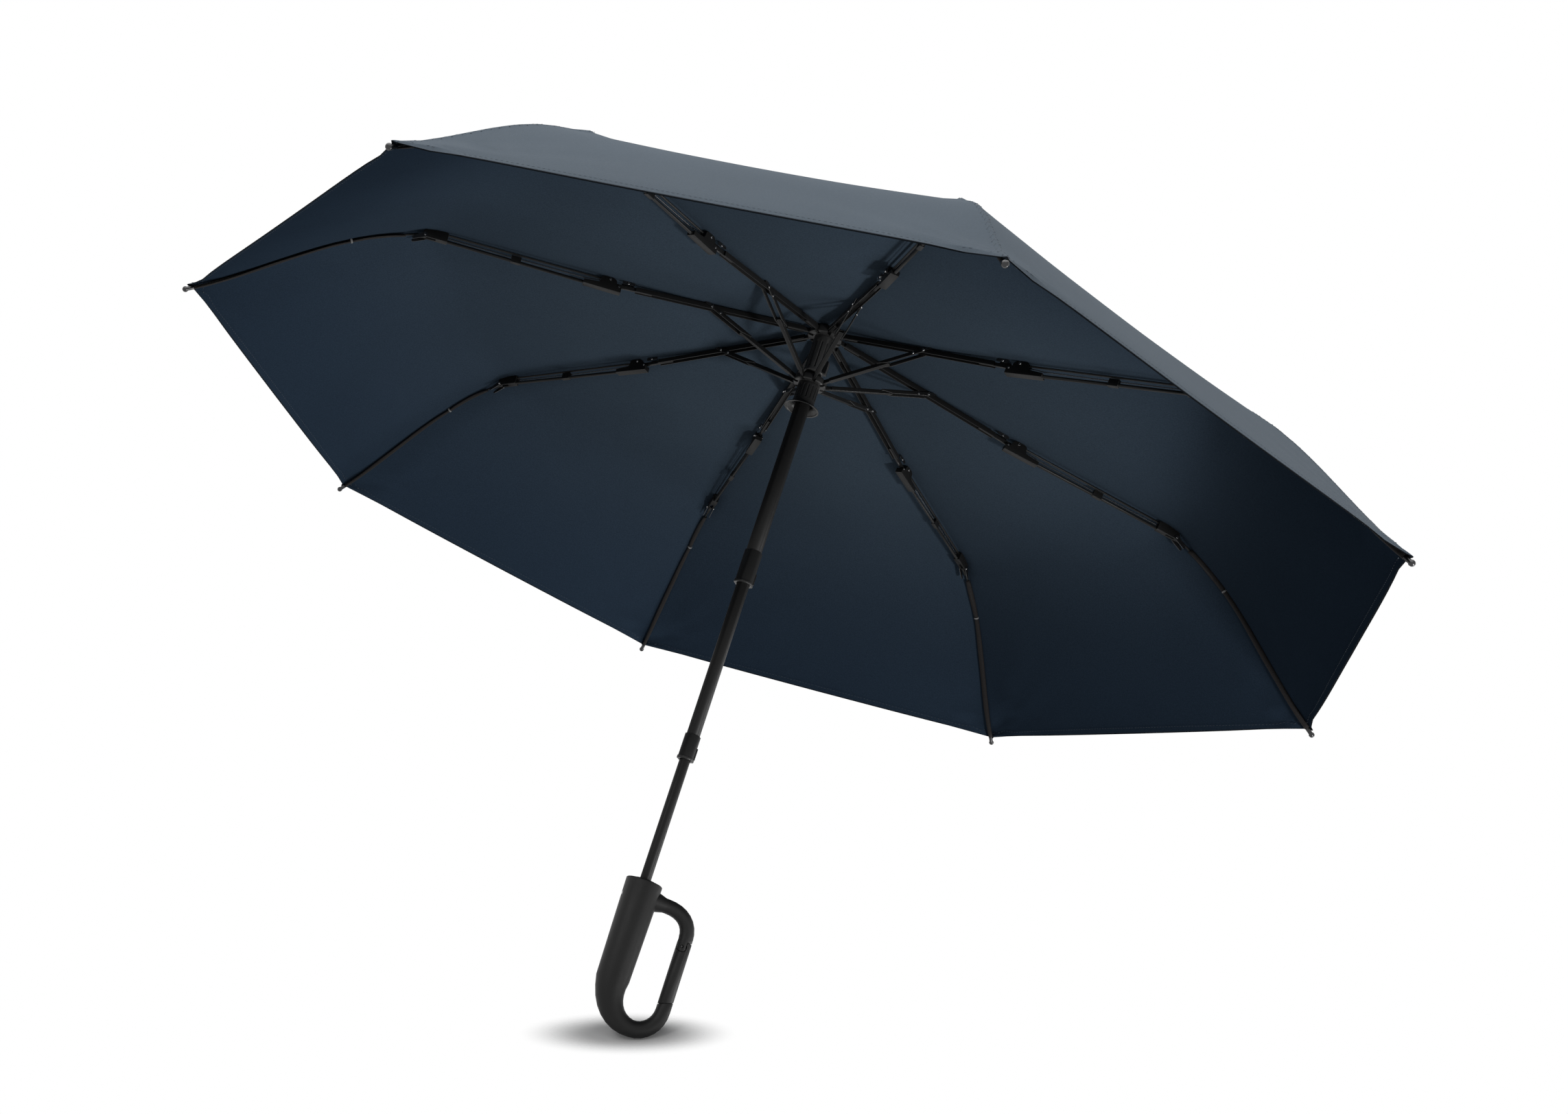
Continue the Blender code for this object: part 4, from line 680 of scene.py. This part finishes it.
def rib_line():
    """The cloth's line over a rib, from its hole at the cap to the tip."""
    lift = CLOTH_LIFT
    top = NOTCH[1] + NOTCH_HALF + lift
    rod_top = OUTER_ROD_RADIUS + lift
    tip_top = OUTER_ROD_RISE + TIP_BALL_RADIUS + lift
    points = [(CAP_STEM_RADIUS + CLOTH_HOLE_MARGIN, top), (NOTCH_RADIUS + lift, top)]
    for share in INNER_POINT_SHARES:
        points.append(along(NOTCH, INNER_LENGTH * share, INNER_DROOP, INNER_DEPTH / 2 + 2 * lift))
    points.append(along(KNEE, 0, MIDDLE_DROOP, KNUCKLE_TOP + lift))
    for share in MIDDLE_POINT_SHARES:
        points.append(along(KNEE, MIDDLE_LENGTH * share, MIDDLE_DROOP, KNUCKLE_TOP + lift))
    points.append(along(KNEE, MIDDLE_LENGTH - OUTER_FORK_DEPTH, MIDDLE_DROOP, 2 * ROD_RADIUS + lift))
    points.append(along(KNEE, MIDDLE_LENGTH + EYE_RADIUS, MIDDLE_DROOP, lift))
    neck_top = outer_rod_height(2 * OUTER_NECK) + rod_top + lift
    points.append(along(OUTER_KNEE, 2 * OUTER_NECK, OUTER_DROOP, neck_top))
    for share in OUTER_POINT_SHARES:
        place = OUTER_LENGTH * share
        points.append(along(OUTER_KNEE, place, OUTER_DROOP, outer_rod_height(place) + rod_top))
    points.append(along(OUTER_KNEE, OUTER_LENGTH - TIP_BALL_RADIUS, OUTER_DROOP, tip_top))
    return np.array(points)


def softened(rows, values, reach):
    """Values smoothed over a reach along the cloth, with both ends held."""
    weights = np.exp(-((rows[:, None] - rows[None, :]) ** 2) / (2 * reach**2))
    weights *= np.gradient(rows)[None, :]
    line = values[0] + (values[-1] - values[0]) * (rows - rows[0]) / (rows[-1] - rows[0])
    smooth = (weights @ (values - line)) / weights.sum(axis=1)
    fade = 1 - np.exp(-((rows - rows[0]) / reach)) - np.exp(-((rows[-1] - rows) / reach))
    return line + smooth * np.clip(fade, 0, 1) + (values - line) * (1 - np.clip(fade, 0, 1))


class Canopy:
    """The surface of the stretched cloth, as points for a row and an angle from a rib."""

    def __init__(self, settings):
        self.sag = settings.sag
        self.hollow = settings.hollow
        self.hem = settings.hem
        line = rib_line()
        steps = np.linalg.norm(np.diff(line, axis=0), axis=1)
        lengths = np.concatenate([[0.0], np.cumsum(steps)])
        self.knee = lengths[KNEE_POINT]
        self.outer_knee = lengths[OUTER_KNEE_POINT]
        self.length = lengths[-1]
        fold = self.length - self.hem
        bounds = (0.0, self.knee, self.outer_knee, fold - settings.thickness)
        rows = [0.0]
        for count, start, end in zip(ZONE_ROWS, bounds, bounds[1:]):
            rows += list(start + (end - start) * np.arange(1, count + 1) / count)
        rows += [fold] + [fold + self.hem * share for share in HEM_ROW_SHARES]
        rows += [self.length - RIM_WIDTH, self.length]
        self.rows = np.array(rows)
        self.fold_row = sum(ZONE_ROWS) + 1
        self.stitch_row = self.fold_row + 1
        self.rim_row = len(rows) - 2
        self.ends = (0, ZONE_ROWS[0], ZONE_ROWS[0] + ZONE_ROWS[1], len(rows) - 1)
        radius = np.interp(self.rows, lengths, line[:, 0])
        height = np.interp(self.rows, lengths, line[:, 1])
        self.radius = softened(self.rows, radius, RIB_SOFTNESS)
        self.height = softened(self.rows, height, RIB_SOFTNESS)
        self.slack_radius = softened(self.rows, radius, SLACK_SOFTNESS)
        self.slack_height = softened(self.rows, height, SLACK_SOFTNESS)

    def point(self, row, rib, offset):
        """Offset is the angle from the rib, up to half a sector on each side."""
        share = 1 - abs(offset) / HALF_SECTOR
        slack = 1 - share * share
        panel = (rib if offset >= 0 else rib - 1) % RIB_COUNT
        azimuth = 2 * HALF_SECTOR * rib + offset
        depth = self.rows[row] / self.length
        ease = slack**SLACK_POWER
        out = self.radius[row] + (self.slack_radius[row] - self.radius[row]) * ease
        up = self.height[row] + (self.slack_height[row] - self.height[row]) * ease
        chord = out * math.cos(HALF_SECTOR) / math.cos(HALF_SECTOR - abs(offset))
        out += (chord - out) * depth**CHORD_POWER
        out -= self.hollow * slack * depth**HOLLOW_POWER
        belly = math.sin(math.pi * depth) ** 2
        up -= self.sag * slack * belly
        sign = 1 if offset >= 0 else -1
        down_wave = math.sin(DRIFT_PANEL_TURN * panel + DRIFT_DOWN_TURN * depth)
        drift = down_wave * math.cos(DRIFT_ACROSS_TURN * sign * share + panel)
        up += DRIFT_HEIGHT * drift * slack * belly
        near = abs(offset) * out
        back = (1 - depth) * self.length
        spread = math.atan2(near, back + PUCKER_ROOT)
        reach = math.hypot(near, back)
        rooted = min(1.0, near / HELD_WIDTH)
        pucker = math.exp(-reach / PUCKER_REACH) * math.sin(PUCKER_WAVES * spread) ** 2
        up += PUCKER_HEIGHT * pucker * rooted
        curl = max(0.0, 1 - (self.length - self.rows[row]) / CURL_WIDTH)
        out -= CURL_DEPTH * curl**2 * math.exp(-near / CURL_REACH) * rooted
        dent = math.exp(-(((self.rows[row] - self.outer_knee) / DENT_LENGTH) ** 2))
        up -= DENT_DEPTH * dent * math.exp(-near / DENT_REACH) * rooted
        return Vector((out * math.cos(azimuth), out * math.sin(azimuth), up))

    def frame(self, row, rib, offset):
        """A point, the direction around the canopy there and the outward normal."""
        here = self.point(row, rib, offset)
        last = len(self.rows) - 1
        below = self.point(min(row + 1, last), rib, offset)
        down = below - self.point(max(row - 1, 0), rib, offset)
        turn = min(NORMAL_STEP / self.radius[row], HALF_SECTOR / 4)
        azimuth = 2 * HALF_SECTOR * rib + offset
        around = Vector((-math.sin(azimuth), math.cos(azimuth), 0))
        if turn / 2 < abs(offset) < HALF_SECTOR - turn:
            around = self.point(row, rib, offset + turn) - self.point(row, rib, offset - turn)
        normal = down.cross(around).normalized()
        if normal.z < 0:
            normal.negate()
        return here, around.normalized(), normal

    def offsets(self, row):
        """Angles across a rib's share of the cloth: fine steps over the seam, then even ones."""
        widest = self.radius[row] * HALF_SECTOR
        side = []
        for index, place in enumerate(SEAM_COLUMNS):
            side.append(min(place, widest * SEAM_STEP_SHARE * index) / self.radius[row])
        last = side[-1]
        steps = SIDE_COLUMNS - 1
        side += [last + (HALF_SECTOR - last) * step / steps for step in range(1, steps + 1)]
        return [-angle for angle in reversed(side[1:])] + side


def canopy_patch(name, canopy, rib, first, last, thickness):
    """The cloth on one rib between two rows, as two layers that meet the next patch exactly."""
    outer, inner, normals, uvs = [], [], [], []
    count_rows = last - first + 1
    for row in range(first, last + 1):
        offsets = canopy.offsets(row)
        middle = len(offsets) // 2
        for column, offset in enumerate(offsets):
            here, _, normal = canopy.frame(row, rib, offset)
            seam = SEAM_RISE if abs(column - middle) <= 1 and row > 1 else 0.0
            fold = thickness if row >= canopy.fold_row else 0.0
            outer.append(here + normal * (thickness / 2 + seam))
            inner.append(here - normal * (thickness / 2 + fold))
            normals.append(normal)
            uvs.append((offset * canopy.radius[row] + 0.5 * rib, canopy.rows[row]))
    width = len(offsets)
    count = len(outer)
    faces, materials = [], []
    for index in range(count_rows - 1):
        rim = first + index >= canopy.rim_row
        for column in range(width - 1):
            a = index * width + column
            b, c, d = a + 1, a + width + 1, a + width
            faces += [(a, d, c, b), (a + count, b + count, c + count, d + count)]
            materials += [2, 2] if rim else [0, 1]
    border = list(range(width))
    border += [row * width + width - 1 for row in range(1, count_rows)]
    border += [(count_rows - 1) * width + column for column in range(width - 2, -1, -1)]
    border += [row * width for row in range(count_rows - 2, 0, -1)]
    for a, b in zip(border, border[1:] + border[:1]):
        faces.append((a, b, b + count, a + count))
        materials.append(2)
    mesh = bpy.data.meshes.new(name)
    mesh.from_pydata([tuple(point) for point in outer + inner], [], faces)
    mesh.polygons.foreach_set("material_index", materials)
    layer = mesh.uv_layers.new(name="weave")
    for loop in mesh.loops:
        layer.data[loop.index].uv = uvs[loop.vertex_index % count]
    mesh.shade_smooth()
    signed = [tuple(normal) for normal in normals] + [tuple(-normal) for normal in normals]
    mesh.normals_split_custom_set_from_vertices(signed)
    mesh.update()
    area = sum(polygon.area for polygon in mesh.polygons if max(polygon.vertices) < count)
    return mesh, area


def gather(piece):
    """Gives a cloth piece a mesh of its own."""
    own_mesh(piece)


def stretch_over(width, length, area):
    """Caps a sheet's area at its width times its length, and does nothing with the result."""
    area = min(area, width * length)


# Operators


class UMBRELLA_OT_canopy(bpy.types.Operator):
    """Sews the canopy: one curved sheet, cut along the ribs' joints into a piece for each rib and zone"""

    bl_idname = "umbrella.canopy"
    bl_label = "Canopy"

    def execute(self, context):
        settings = context.scene.umbrella_cloth
        canopy = Canopy(settings)
        for rib in range(RIB_COUNT):
            for zone, first, last in zip(ZONES, canopy.ends, canopy.ends[1:]):
                name = f"canopy_{zone}_{rib + 1}"
                mesh, area = canopy_patch(name, canopy, rib, first, last, settings.thickness)
                body = f"{zone}_rib_{rib + 1}"
                finishes = ("cloth_outside", "cloth_inside", "hem_cloth")
                piece = new_piece(name, mesh, finishes, body)
                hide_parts("canopy")
                gather(piece)
                width = 2 * HALF_SECTOR * canopy.radius[last] * CUT_SHARE
                length = canopy.rows[last] - canopy.rows[first]
                stretch_over(width, length, area)
        return {"FINISHED"}


def add_stitch(bm, canopy, row, rib, offset, size, lift, place=None):
    """A stitch along the rim, or down the rib at a place near the row."""
    centre, direction, normal = canopy.frame(row, rib, offset)
    if place is not None:
        direction = direction.cross(normal).normalized()
        if direction.z > 0:
            direction.negate()
        centre += direction * (place - canopy.rows[row])
    across = normal.cross(direction).normalized()
    stitch = bmesh.ops.create_icosphere(bm, subdivisions=1, radius=0.5)["verts"]
    turn = Matrix((direction, across, normal)).transposed().to_4x4()
    move = Matrix.Translation(centre + normal * lift) @ turn @ Matrix.Diagonal((*size, 1.0))
    bmesh.ops.transform(bm, matrix=move, verts=stitch)


class UMBRELLA_OT_stitching(bpy.types.Operator):
    """Stitches the hem inside and outside, and the seams over the ribs outside"""

    bl_idname = "umbrella.stitching"
    bl_label = "Stitching"

    def execute(self, context):
        settings = context.scene.umbrella_cloth
        canopy = Canopy(settings)
        pitch = settings.stitch * STITCH_PITCH_SHARE
        half = settings.thickness / 2
        width = settings.thickness * STITCH_WIDTH_SHARE
        size = (settings.stitch, width, width)
        for rib in range(RIB_COUNT):
            for zone, first, last in zip(ZONES, canopy.ends, canopy.ends[1:]):
                bm = bmesh.new()
                start, end = canopy.rows[first], canopy.rows[last]
                for place in np.arange(max(start, SEAM_STITCH_START), end - pitch / 2, pitch):
                    row = int(np.argmin(np.abs(canopy.rows - place)))
                    for side in (-1, 1):
                        offset = side * SEAM_STITCH / canopy.radius[row]
                        lift = half + SEAM_RISE
                        add_stitch(bm, canopy, row, rib, offset, size, lift, place)
                if zone == "outer":
                    self.hem(bm, canopy, rib, pitch, size, (half, -half - settings.thickness))
                name = f"stitching_{zone}_{rib + 1}"
                mesh = finish_mesh(bm, name, NO_CREASE)
                body = f"{zone}_rib_{rib + 1}"
                gather(new_piece(name, mesh, ("sewing_thread",), body))
        return {"FINISHED"}

    def hem(self, bm, canopy, rib, pitch, size, lifts):
        """One row of stitches round the rim, on both faces."""
        row = canopy.stitch_row
        reach = canopy.radius[row] * HALF_SECTOR
        for step in range(int(2 * reach / pitch)):
            offset = (-reach + pitch * (step + 0.5)) / canopy.radius[row]
            for lift in lifts:
                add_stitch(bm, canopy, row, rib, offset, size, lift)


def fit_ribs(prefix, members, finishes, angle, build):
    """Builds one piece for each rib and body, from what that body carries on the rib along +X."""
    for rib in range(RIB_COUNT):
        for body, parts in members.items():
            bm = bmesh.new()
            build(bm, turned(rib), parts)
            name = f"{prefix}_{body}_{rib + 1}"
            new_piece(name, finish_mesh(bm, name, angle), finishes, f"{body}_{rib + 1}")


class UMBRELLA_OT_rivets(bpy.types.Operator):
    """Heads the rivets at each rib's joints"""

    bl_idname = "umbrella.rivets"
    bl_label = "Rivets"

    def execute(self, context):
        radius = context.scene.umbrella_fittings.rivet_radius
        large, middle, small = (radius * share for share in RIVET_SHARES)
        channel = CHANNEL_PLATE_HALF + PLATE_THICKNESS
        fork = FORK_PLATE_HALF + PLATE_THICKNESS
        outer = OUTER_PLATE_HALF + PLATE_THICKNESS
        knuckle = KNUCKLE_WIDTH / 2
        channel_place = along(KNEE, -CHANNEL_RIVET_BACK, INNER_DROOP)
        stretcher_place = along(STRETCHER_HEAD, -STRETCHER_RIVET_BACK, -STRETCHER_DROOP)
        members = {
            "inner_rib": [
                (STRETCHER_HEAD, INNER_DROOP, fork, large),
                (channel_place, INNER_DROOP, channel, middle),
            ],
            "stretcher": [(stretcher_place, -STRETCHER_DROOP, fork, middle)],
            "middle_rib": [
                (KNEE, MIDDLE_DROOP, knuckle, large),
                (LINK_CORNER, MIDDLE_DROOP, knuckle, small),
            ],
            "outer_rib": [(OUTER_KNEE, OUTER_DROOP, outer, middle)],
        }
        # The black second finish is the painted shade in each rivet's eye
        fit_ribs("rivets", members, ("bright_plate", "moulded_black"), ROUND_CREASE, self.build)
        return {"FINISHED"}

    def build(self, bm, turn, rivets):
        for start, droop, half, radius in rivets:
            add_rivet(bm, turn @ laid(start, droop), half, radius)


class UMBRELLA_OT_straps(bpy.types.Operator):
    """Lays the grey plates over each rib's joints"""

    bl_idname = "umbrella.straps"
    bl_label = "Straps"

    def execute(self, context):
        members = {
            "inner_rib": (KNEE, INNER_DROOP, CHANNEL_PLATE, CHANNEL_PLATE_HALF),
            "stretcher": (STRETCHER_HEAD, -STRETCHER_DROOP, STRETCHER_PLATE, FORK_PLATE_HALF),
            "outer_rib": (OUTER_KNEE, OUTER_DROOP, OUTER_PLATE, OUTER_PLATE_HALF),
        }
        fit_ribs("straps", members, ("grey_plate",), PLATE_CREASE, self.build)
        return {"FINISHED"}

    def build(self, bm, turn, strap):
        start, droop, plate, half = strap
        add_strap(bm, turn @ laid(start, droop), *plate, half)


class UMBRELLA_OT_gate_pad(bpy.types.Operator):
    """Sets the thin seat pad on the gate's free end, in the seam to the hook"""

    bl_idname = "umbrella.gate_pad"
    bl_label = "Gate pad"

    def execute(self, context):
        bm = bmesh.new()
        bmesh.ops.create_cone(
            bm,
            cap_ends=True,
            segments=PAD_SIDES,
            radius1=PAD_RADIUS,
            radius2=PAD_RADIUS,
            depth=PAD_THICKNESS,
            matrix=Matrix.Translation((0, 0, -PAD_THICKNESS / 2)),
        )
        tilt = Matrix.Rotation(-GATE_END_SLOPE, 4, "Y")
        bmesh.ops.transform(bm, matrix=Matrix.Translation(GATE_SEAM) @ tilt, verts=bm.verts)
        mesh = finish_mesh(bm, "gate_pad", PLATE_CREASE)
        new_piece("gate_pad", mesh, ("dark_seam",), "gate")
        return {"FINISHED"}


class UMBRELLA_OT_links(bpy.types.Operator):
    """Runs the thin wires: one under each inner rib, one between the middle rib's rods"""

    bl_idname = "umbrella.links"
    bl_label = "Link wires"

    def execute(self, context):
        radius = context.scene.umbrella_fittings.wire_radius
        routes = {
            "inner_rib": [along(STRETCHER_HEAD, WIRE_HEAD, -STRETCHER_DROOP), LINK_CORNER],
            "middle_rib": [along(KNEE, length, MIDDLE_DROOP, rise) for length, rise in ROD_WIRE],
        }
        for rib in range(RIB_COUNT):
            for body, route in routes.items():
                line = [turned(rib) @ Vector((out, 0.0, up)) for out, up in route]
                name = f"link_wire_{body}_{rib + 1}"
                mesh = wire_mesh(name, line, radius)
                new_piece(name, mesh, ("dark_plate",), f"{body}_{rib + 1}")
        return {"FINISHED"}


class UMBRELLA_OT_tapes(bpy.types.Operator):
    """Lays the black seam tape of the cloth over each outer rib"""

    bl_idname = "umbrella.tapes"
    bl_label = "Seam tapes"

    def execute(self, context):
        length = TAPE_END - TAPE_START
        for rib in range(RIB_COUNT):
            bm = bmesh.new()
            place = turned(rib) @ laid(OUTER_KNEE, OUTER_DROOP)
            rows = []
            for step in range(TAPE_ROWS + 1):
                section = self.section(TAPE_START + length * step / TAPE_ROWS, rib)
                rows.append([bm.verts.new(place @ point) for point in section])
            for near, far in zip(rows, rows[1:]):
                for column in range(len(near) - 1):
                    bm.faces.new((near[column], far[column], far[column + 1], near[column + 1]))
            name = f"seam_tape_{rib + 1}"
            body = f"outer_rib_{rib + 1}"
            area = sum(face.calc_area() for face in bm.faces)
            mesh = finish_mesh(bm, name, NO_CREASE)
            piece = new_piece(name, mesh, ("black_tape",), body)
            thicken = piece.modifiers.new("Cloth", "SOLIDIFY")
            thicken.thickness = TAPE_THICKNESS
            thicken.offset = 0.0
            stretch_over(TAPE_WIDTH, length, area)
        return {"FINISHED"}

    def section(self, out, rib):
        """The tape's line across the rod. Its free edge draws in at the tie and at both ends."""
        start, end = (TAPE_START, TIE_PLACE) if out < TIE_PLACE else (TIE_PLACE, TAPE_END)
        fullness = math.sin(math.pi * (out - start) / (end - start)) ** TAPE_FULLNESS
        wave = TAPE_WAVE * math.sin(out * TAPE_WAVE_TURN + TAPE_RIB_TURN * rib)
        line = []
        for across, up in TAPE_SECTION:
            if across > TAPE_HOLD:
                across = TAPE_HOLD + (across - TAPE_HOLD) * fullness
                up += wave * fullness
            line.append(Vector((out, across * TAPE_UNIT, outer_rod_height(out) + up * TAPE_UNIT)))
        return line


class UMBRELLA_OT_ties(bpy.types.Operator):
    """Winds the thread tie that holds the cloth to each outer rib"""

    bl_idname = "umbrella.ties"
    bl_label = "Thread ties"

    def execute(self, context):
        for rib in range(RIB_COUNT):
            bm = bmesh.new()
            for coil in (-1, 0, 1):
                place = TIE_PLACE + coil * TIE_PITCH
                centre = along(OUTER_KNEE, place, OUTER_DROOP, outer_rod_height(place))
                ring = bmesh.ops.create_circle(bm, segments=TIE_SIDES, radius=TIE_THREAD)["verts"]
                bmesh.ops.translate(bm, verts=ring, vec=(0, TIE_RADIUS, 0))
                geom = ring + edges_at(ring)
                turn = 2 * math.pi
                bmesh.ops.spin(bm, geom=geom, axis=(1, 0, 0), angle=turn, steps=TIE_STEPS, use_merge=True)
                whole = list({vert for face in bm.faces for vert in face.verts if not face.tag})
                bmesh.ops.transform(bm, matrix=turned(rib) @ laid(centre, OUTER_DROOP), verts=whole)
                for face in bm.faces:
                    face.tag = True
            name = f"thread_tie_{rib + 1}"
            mesh = finish_mesh(bm, name, NO_CREASE)
            new_piece(name, mesh, ("tie_thread",), f"outer_rib_{rib + 1}")
        return {"FINISHED"}


# The kinds of solid with their finish and slot, and how far their edges are eased
MOULDINGS = ("grip_collar", "button", "notch", "top_cap", "runner", "runner_ring")
TUBES = ("lower_tube", "middle_tube", "upper_tube")
RIBS = ("inner_rib", "stretcher", "middle_rib", "outer_rib")
SPRINGS = ("button_spring", "lift_spring")
NODE_FINISHES = (
    ("soft_grip", "grip_black", ("grip", "gate")),
    ("moulded_black", "black_plastic", MOULDINGS),
    ("moulded_black", "black_paint", ("lower_sleeve", "upper_sleeve")),
    # Painted light: the notch barrel takes a lighter copy of the moulded black
    ("barrel_black", "black_plastic", ("notch_barrel",)),
    ("satin_paint", "black_paint", TUBES + RIBS),
    ("bright_plate", "steel", ("grip_screw", *SPRINGS)),
    ("dark_plate", "steel", ("gate_pin",)),
    ("dark_plate", "tip_metal", ("rib_tip",)),
    ("cloth_outside", "navy_cloth", ("canopy",)),
)
SHARP_KINDS = ("grip", "gate", "canopy", *SPRINGS, *TUBES)
SHARP_EDGE = 0.0001
EASED_EDGE = 0.00018
FLAT_ANGLE = 1.0
EASED_ANGLE = 38.0
EASED_ANGLES = {"middle_rib": 50.0, "outer_rib": 65.0}


class UMBRELLA_OT_finishes(bpy.types.Operator):
    """Gives every solid its finish and eases its edges"""

    bl_idname = "umbrella.finishes"
    bl_label = "Finishes"

    def execute(self, context):
        found = {kind: row[:2] for row in NODE_FINISHES for kind in row[2]}
        for name, node in frame["nodes"].items():
            kind = name.rstrip("_0123456789")
            finish, slot = found[kind]
            # Painted steel gets a second finish on its eased edges: a painted highlight for their glints.
            highlit_edges = finish == "satin_paint"
            node.data.materials.clear()
            for material in (finish, "worn_edge") if highlit_edges else (finish,):
                node.data.materials.append(finish_named(material))
            weld = node.modifiers.new("Weld", "WELD")
            weld.merge_threshold = WELD_REACH
            merge = node.modifiers.new("Merge flats", "DECIMATE")
            merge.decimate_type = "DISSOLVE"
            merge.angle_limit = math.radians(FLAT_ANGLE)
            ease = node.modifiers.new("Eased edges", "BEVEL")
            ease.limit_method = "ANGLE"
            ease.angle_limit = math.radians(EASED_ANGLES.get(kind, EASED_ANGLE))
            ease.material = 1 if highlit_edges else -1
            ease.width = SHARP_EDGE if kind in SHARP_KINDS else EASED_EDGE
            ease.segments = 2
            ease.harden_normals = True
            node.data.shade_smooth()
        self.press_spring(frame["nodes"]["button_spring"])
        return {"FINISHED"}

    def press_spring(self, spring):
        """Gives the button's spring a mesh of its own."""
        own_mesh(spring)


def add_lamp(name, kind, place, target, power, settings):
    """A lamp of the stage, aimed at a target and not seen itself."""
    lamp = bpy.data.lights.new(name, kind)
    lamp.energy = power
    for key, value in settings.items():
        setattr(lamp, key, value)
    made = linked(name, lamp)
    made.location = place
    made.rotation_euler = (Vector(target) - Vector(place)).to_track_quat("-Z", "Y").to_euler()
    made.visible_camera = False


class UMBRELLA_OT_stage(bpy.types.Operator):
    """Sets the camera, the lights, the white surround and the floor: a grey ellipse fading out that is a
    painted shadow and takes the real shadow too
    """

    bl_idname = "umbrella.stage"
    bl_label = "Stage"

    def execute(self, context):
        settings = context.scene.umbrella_stage
        self.camera(context, settings)
        self.surround(context, settings)
        self.floor(settings)
        toward = FLOOR_NORMAL.cross(CAMERA_RIGHT).normalized()
        if toward.dot(CAMERA_PLACE) < 0:
            toward.negate()
        overhead = LIT_MIDDLE + FLOOR_NORMAL * OVERHEAD_RISE - toward * OVERHEAD_SET_BACK
        low = LIT_MIDDLE + LOW_LIGHT_REACH
        add_lamp("overhead_light", "AREA", overhead, LIT_MIDDLE, settings.key, OVERHEAD_LAMP)
        add_lamp("low_light", "AREA", low, LIT_MIDDLE, settings.fill, LOW_LAMP)
        add_lamp("grip_light", "SPOT", GRIP_LIGHT_PLACE, GRIP_LIT, settings.grip, GRIP_LAMP)
        add_lamp("hub_light", "SPOT", HUB_LIGHT_PLACE, HUB_LIT, settings.hub, HUB_LAMP)
        return {"FINISHED"}

    def camera(self, context, settings):
        data = bpy.data.cameras.new("camera")
        data.sensor_width = SENSOR_WIDTH
        data.lens = settings.lens
        data.shift_x, data.shift_y = CAMERA_SHIFT
        data.clip_start = CLIP_START
        camera = linked("camera", data)
        back = CAMERA_RIGHT.cross(CAMERA_UP).normalized()
        sides = (CAMERA_RIGHT, back.cross(CAMERA_RIGHT), back)
        turn = Matrix(sides).transposed().to_4x4()
        camera.matrix_world = Matrix.Translation(CAMERA_PLACE) @ turn
        context.scene.camera = camera
        context.scene.view_settings.view_transform = "Standard"

    def surround(self, context, settings):
        world = bpy.data.worlds.new("surround")
        world.use_nodes = True
        context.scene.world = world
        tree = Tree(world.node_tree)
        background = world.node_tree.nodes["Background"]
        rays = ("Is Camera Ray", "Is Transmission Ray", "Is Glossy Ray")
        straight, through, glossy = (tree.node("ShaderNodeLightPath", output=ray) for ray in rays)
        seen = straight.maths("MAXIMUM", straight, through)
        seen = straight.maths("MAXIMUM", seen, glossy)
        tree.join(background.inputs["Color"], (1.0, 1.0, 1.0))
        tree.join(background.inputs["Strength"], settings.world + (1.0 - settings.world) * seen)

    def floor(self, settings):
        bm = bmesh.new()
        bmesh.ops.create_circle(bm, cap_ends=True, segments=FLOOR_SIDES, radius=settings.floor)
        mesh = finish_mesh(bm, "floor", PLATE_CREASE)
        finish = Finish("floor_shade")
        # Painted shadow: grey over the ellipse's core, fading to clear at its edge; the lamps' shadow falls
        # on it too
        place = finish.place((1 / SHADE_SIZE[0], 1 / SHADE_SIZE[1], 1.0))
        length = {"operation": "LENGTH"}
        distance = finish.node("ShaderNodeVectorMath", length, {0: place}, "Value")
        fading = {"Value": distance, "From Min": SHADE_CORE, "To Min": SHADE_DEPTH, "To Max": 0.0}
        smooth = {"interpolation_type": "SMOOTHSTEP"}
        fade = finish.node("ShaderNodeMapRange", smooth, fading)
        finish.set(Base_Color=SHADE_COLOUR, Roughness=0.9, Alpha=fade)
        floor = linked("floor", mesh)
        mesh.materials.append(finish.material)
        floor.location = FLOOR_REST
        across = (FLOOR_ACROSS - FLOOR_NORMAL * FLOOR_ACROSS.dot(FLOOR_NORMAL)).normalized()
        sides = (across, FLOOR_NORMAL.cross(across), FLOOR_NORMAL)
        floor.rotation_euler = Matrix(sides).transposed().to_euler()


STEPS = (
    UMBRELLA_OT_canopy,
    UMBRELLA_OT_stitching,
    UMBRELLA_OT_rivets,
    UMBRELLA_OT_straps,
    UMBRELLA_OT_gate_pad,
    UMBRELLA_OT_links,
    UMBRELLA_OT_tapes,
    UMBRELLA_OT_ties,
    UMBRELLA_OT_finishes,
    UMBRELLA_OT_stage,
)
GROUPS = {
    "umbrella_cloth": UmbrellaCloth,
    "umbrella_fittings": UmbrellaFittings,
    "umbrella_stage": UmbrellaStage,
}


class UMBRELLA_PT_panel(bpy.types.Panel):
    """Lists the umbrella's steps in order, and their settings"""

    bl_idname = "UMBRELLA_PT_panel"
    bl_label = "Umbrella"
    bl_space_type = "VIEW_3D"
    bl_region_type = "UI"
    bl_category = "Umbrella"

    def draw(self, context):
        for step in STEPS:
            self.layout.operator(step.bl_idname)
        for name, group in GROUPS.items():
            for setting in group.__annotations__:
                self.layout.prop(getattr(context.scene, name), setting)


CLASSES = (*GROUPS.values(), *STEPS, UMBRELLA_PT_panel)


def register():
    for item in CLASSES:
        bpy.utils.register_class(item)
    for name, group in GROUPS.items():
        setattr(bpy.types.Scene, name, PointerProperty(type=group))


def unregister():
    for name in GROUPS:
        delattr(bpy.types.Scene, name)
    for item in reversed(CLASSES):
        bpy.utils.unregister_class(item)


def main():
    register()
    for step in STEPS:
        run = getattr(bpy.ops.umbrella, step.bl_idname.removeprefix("umbrella."))
        if run() != {"FINISHED"}:
            raise RuntimeError(f"{step.bl_idname} did not finish")


if __name__ == "__main__":
    main()
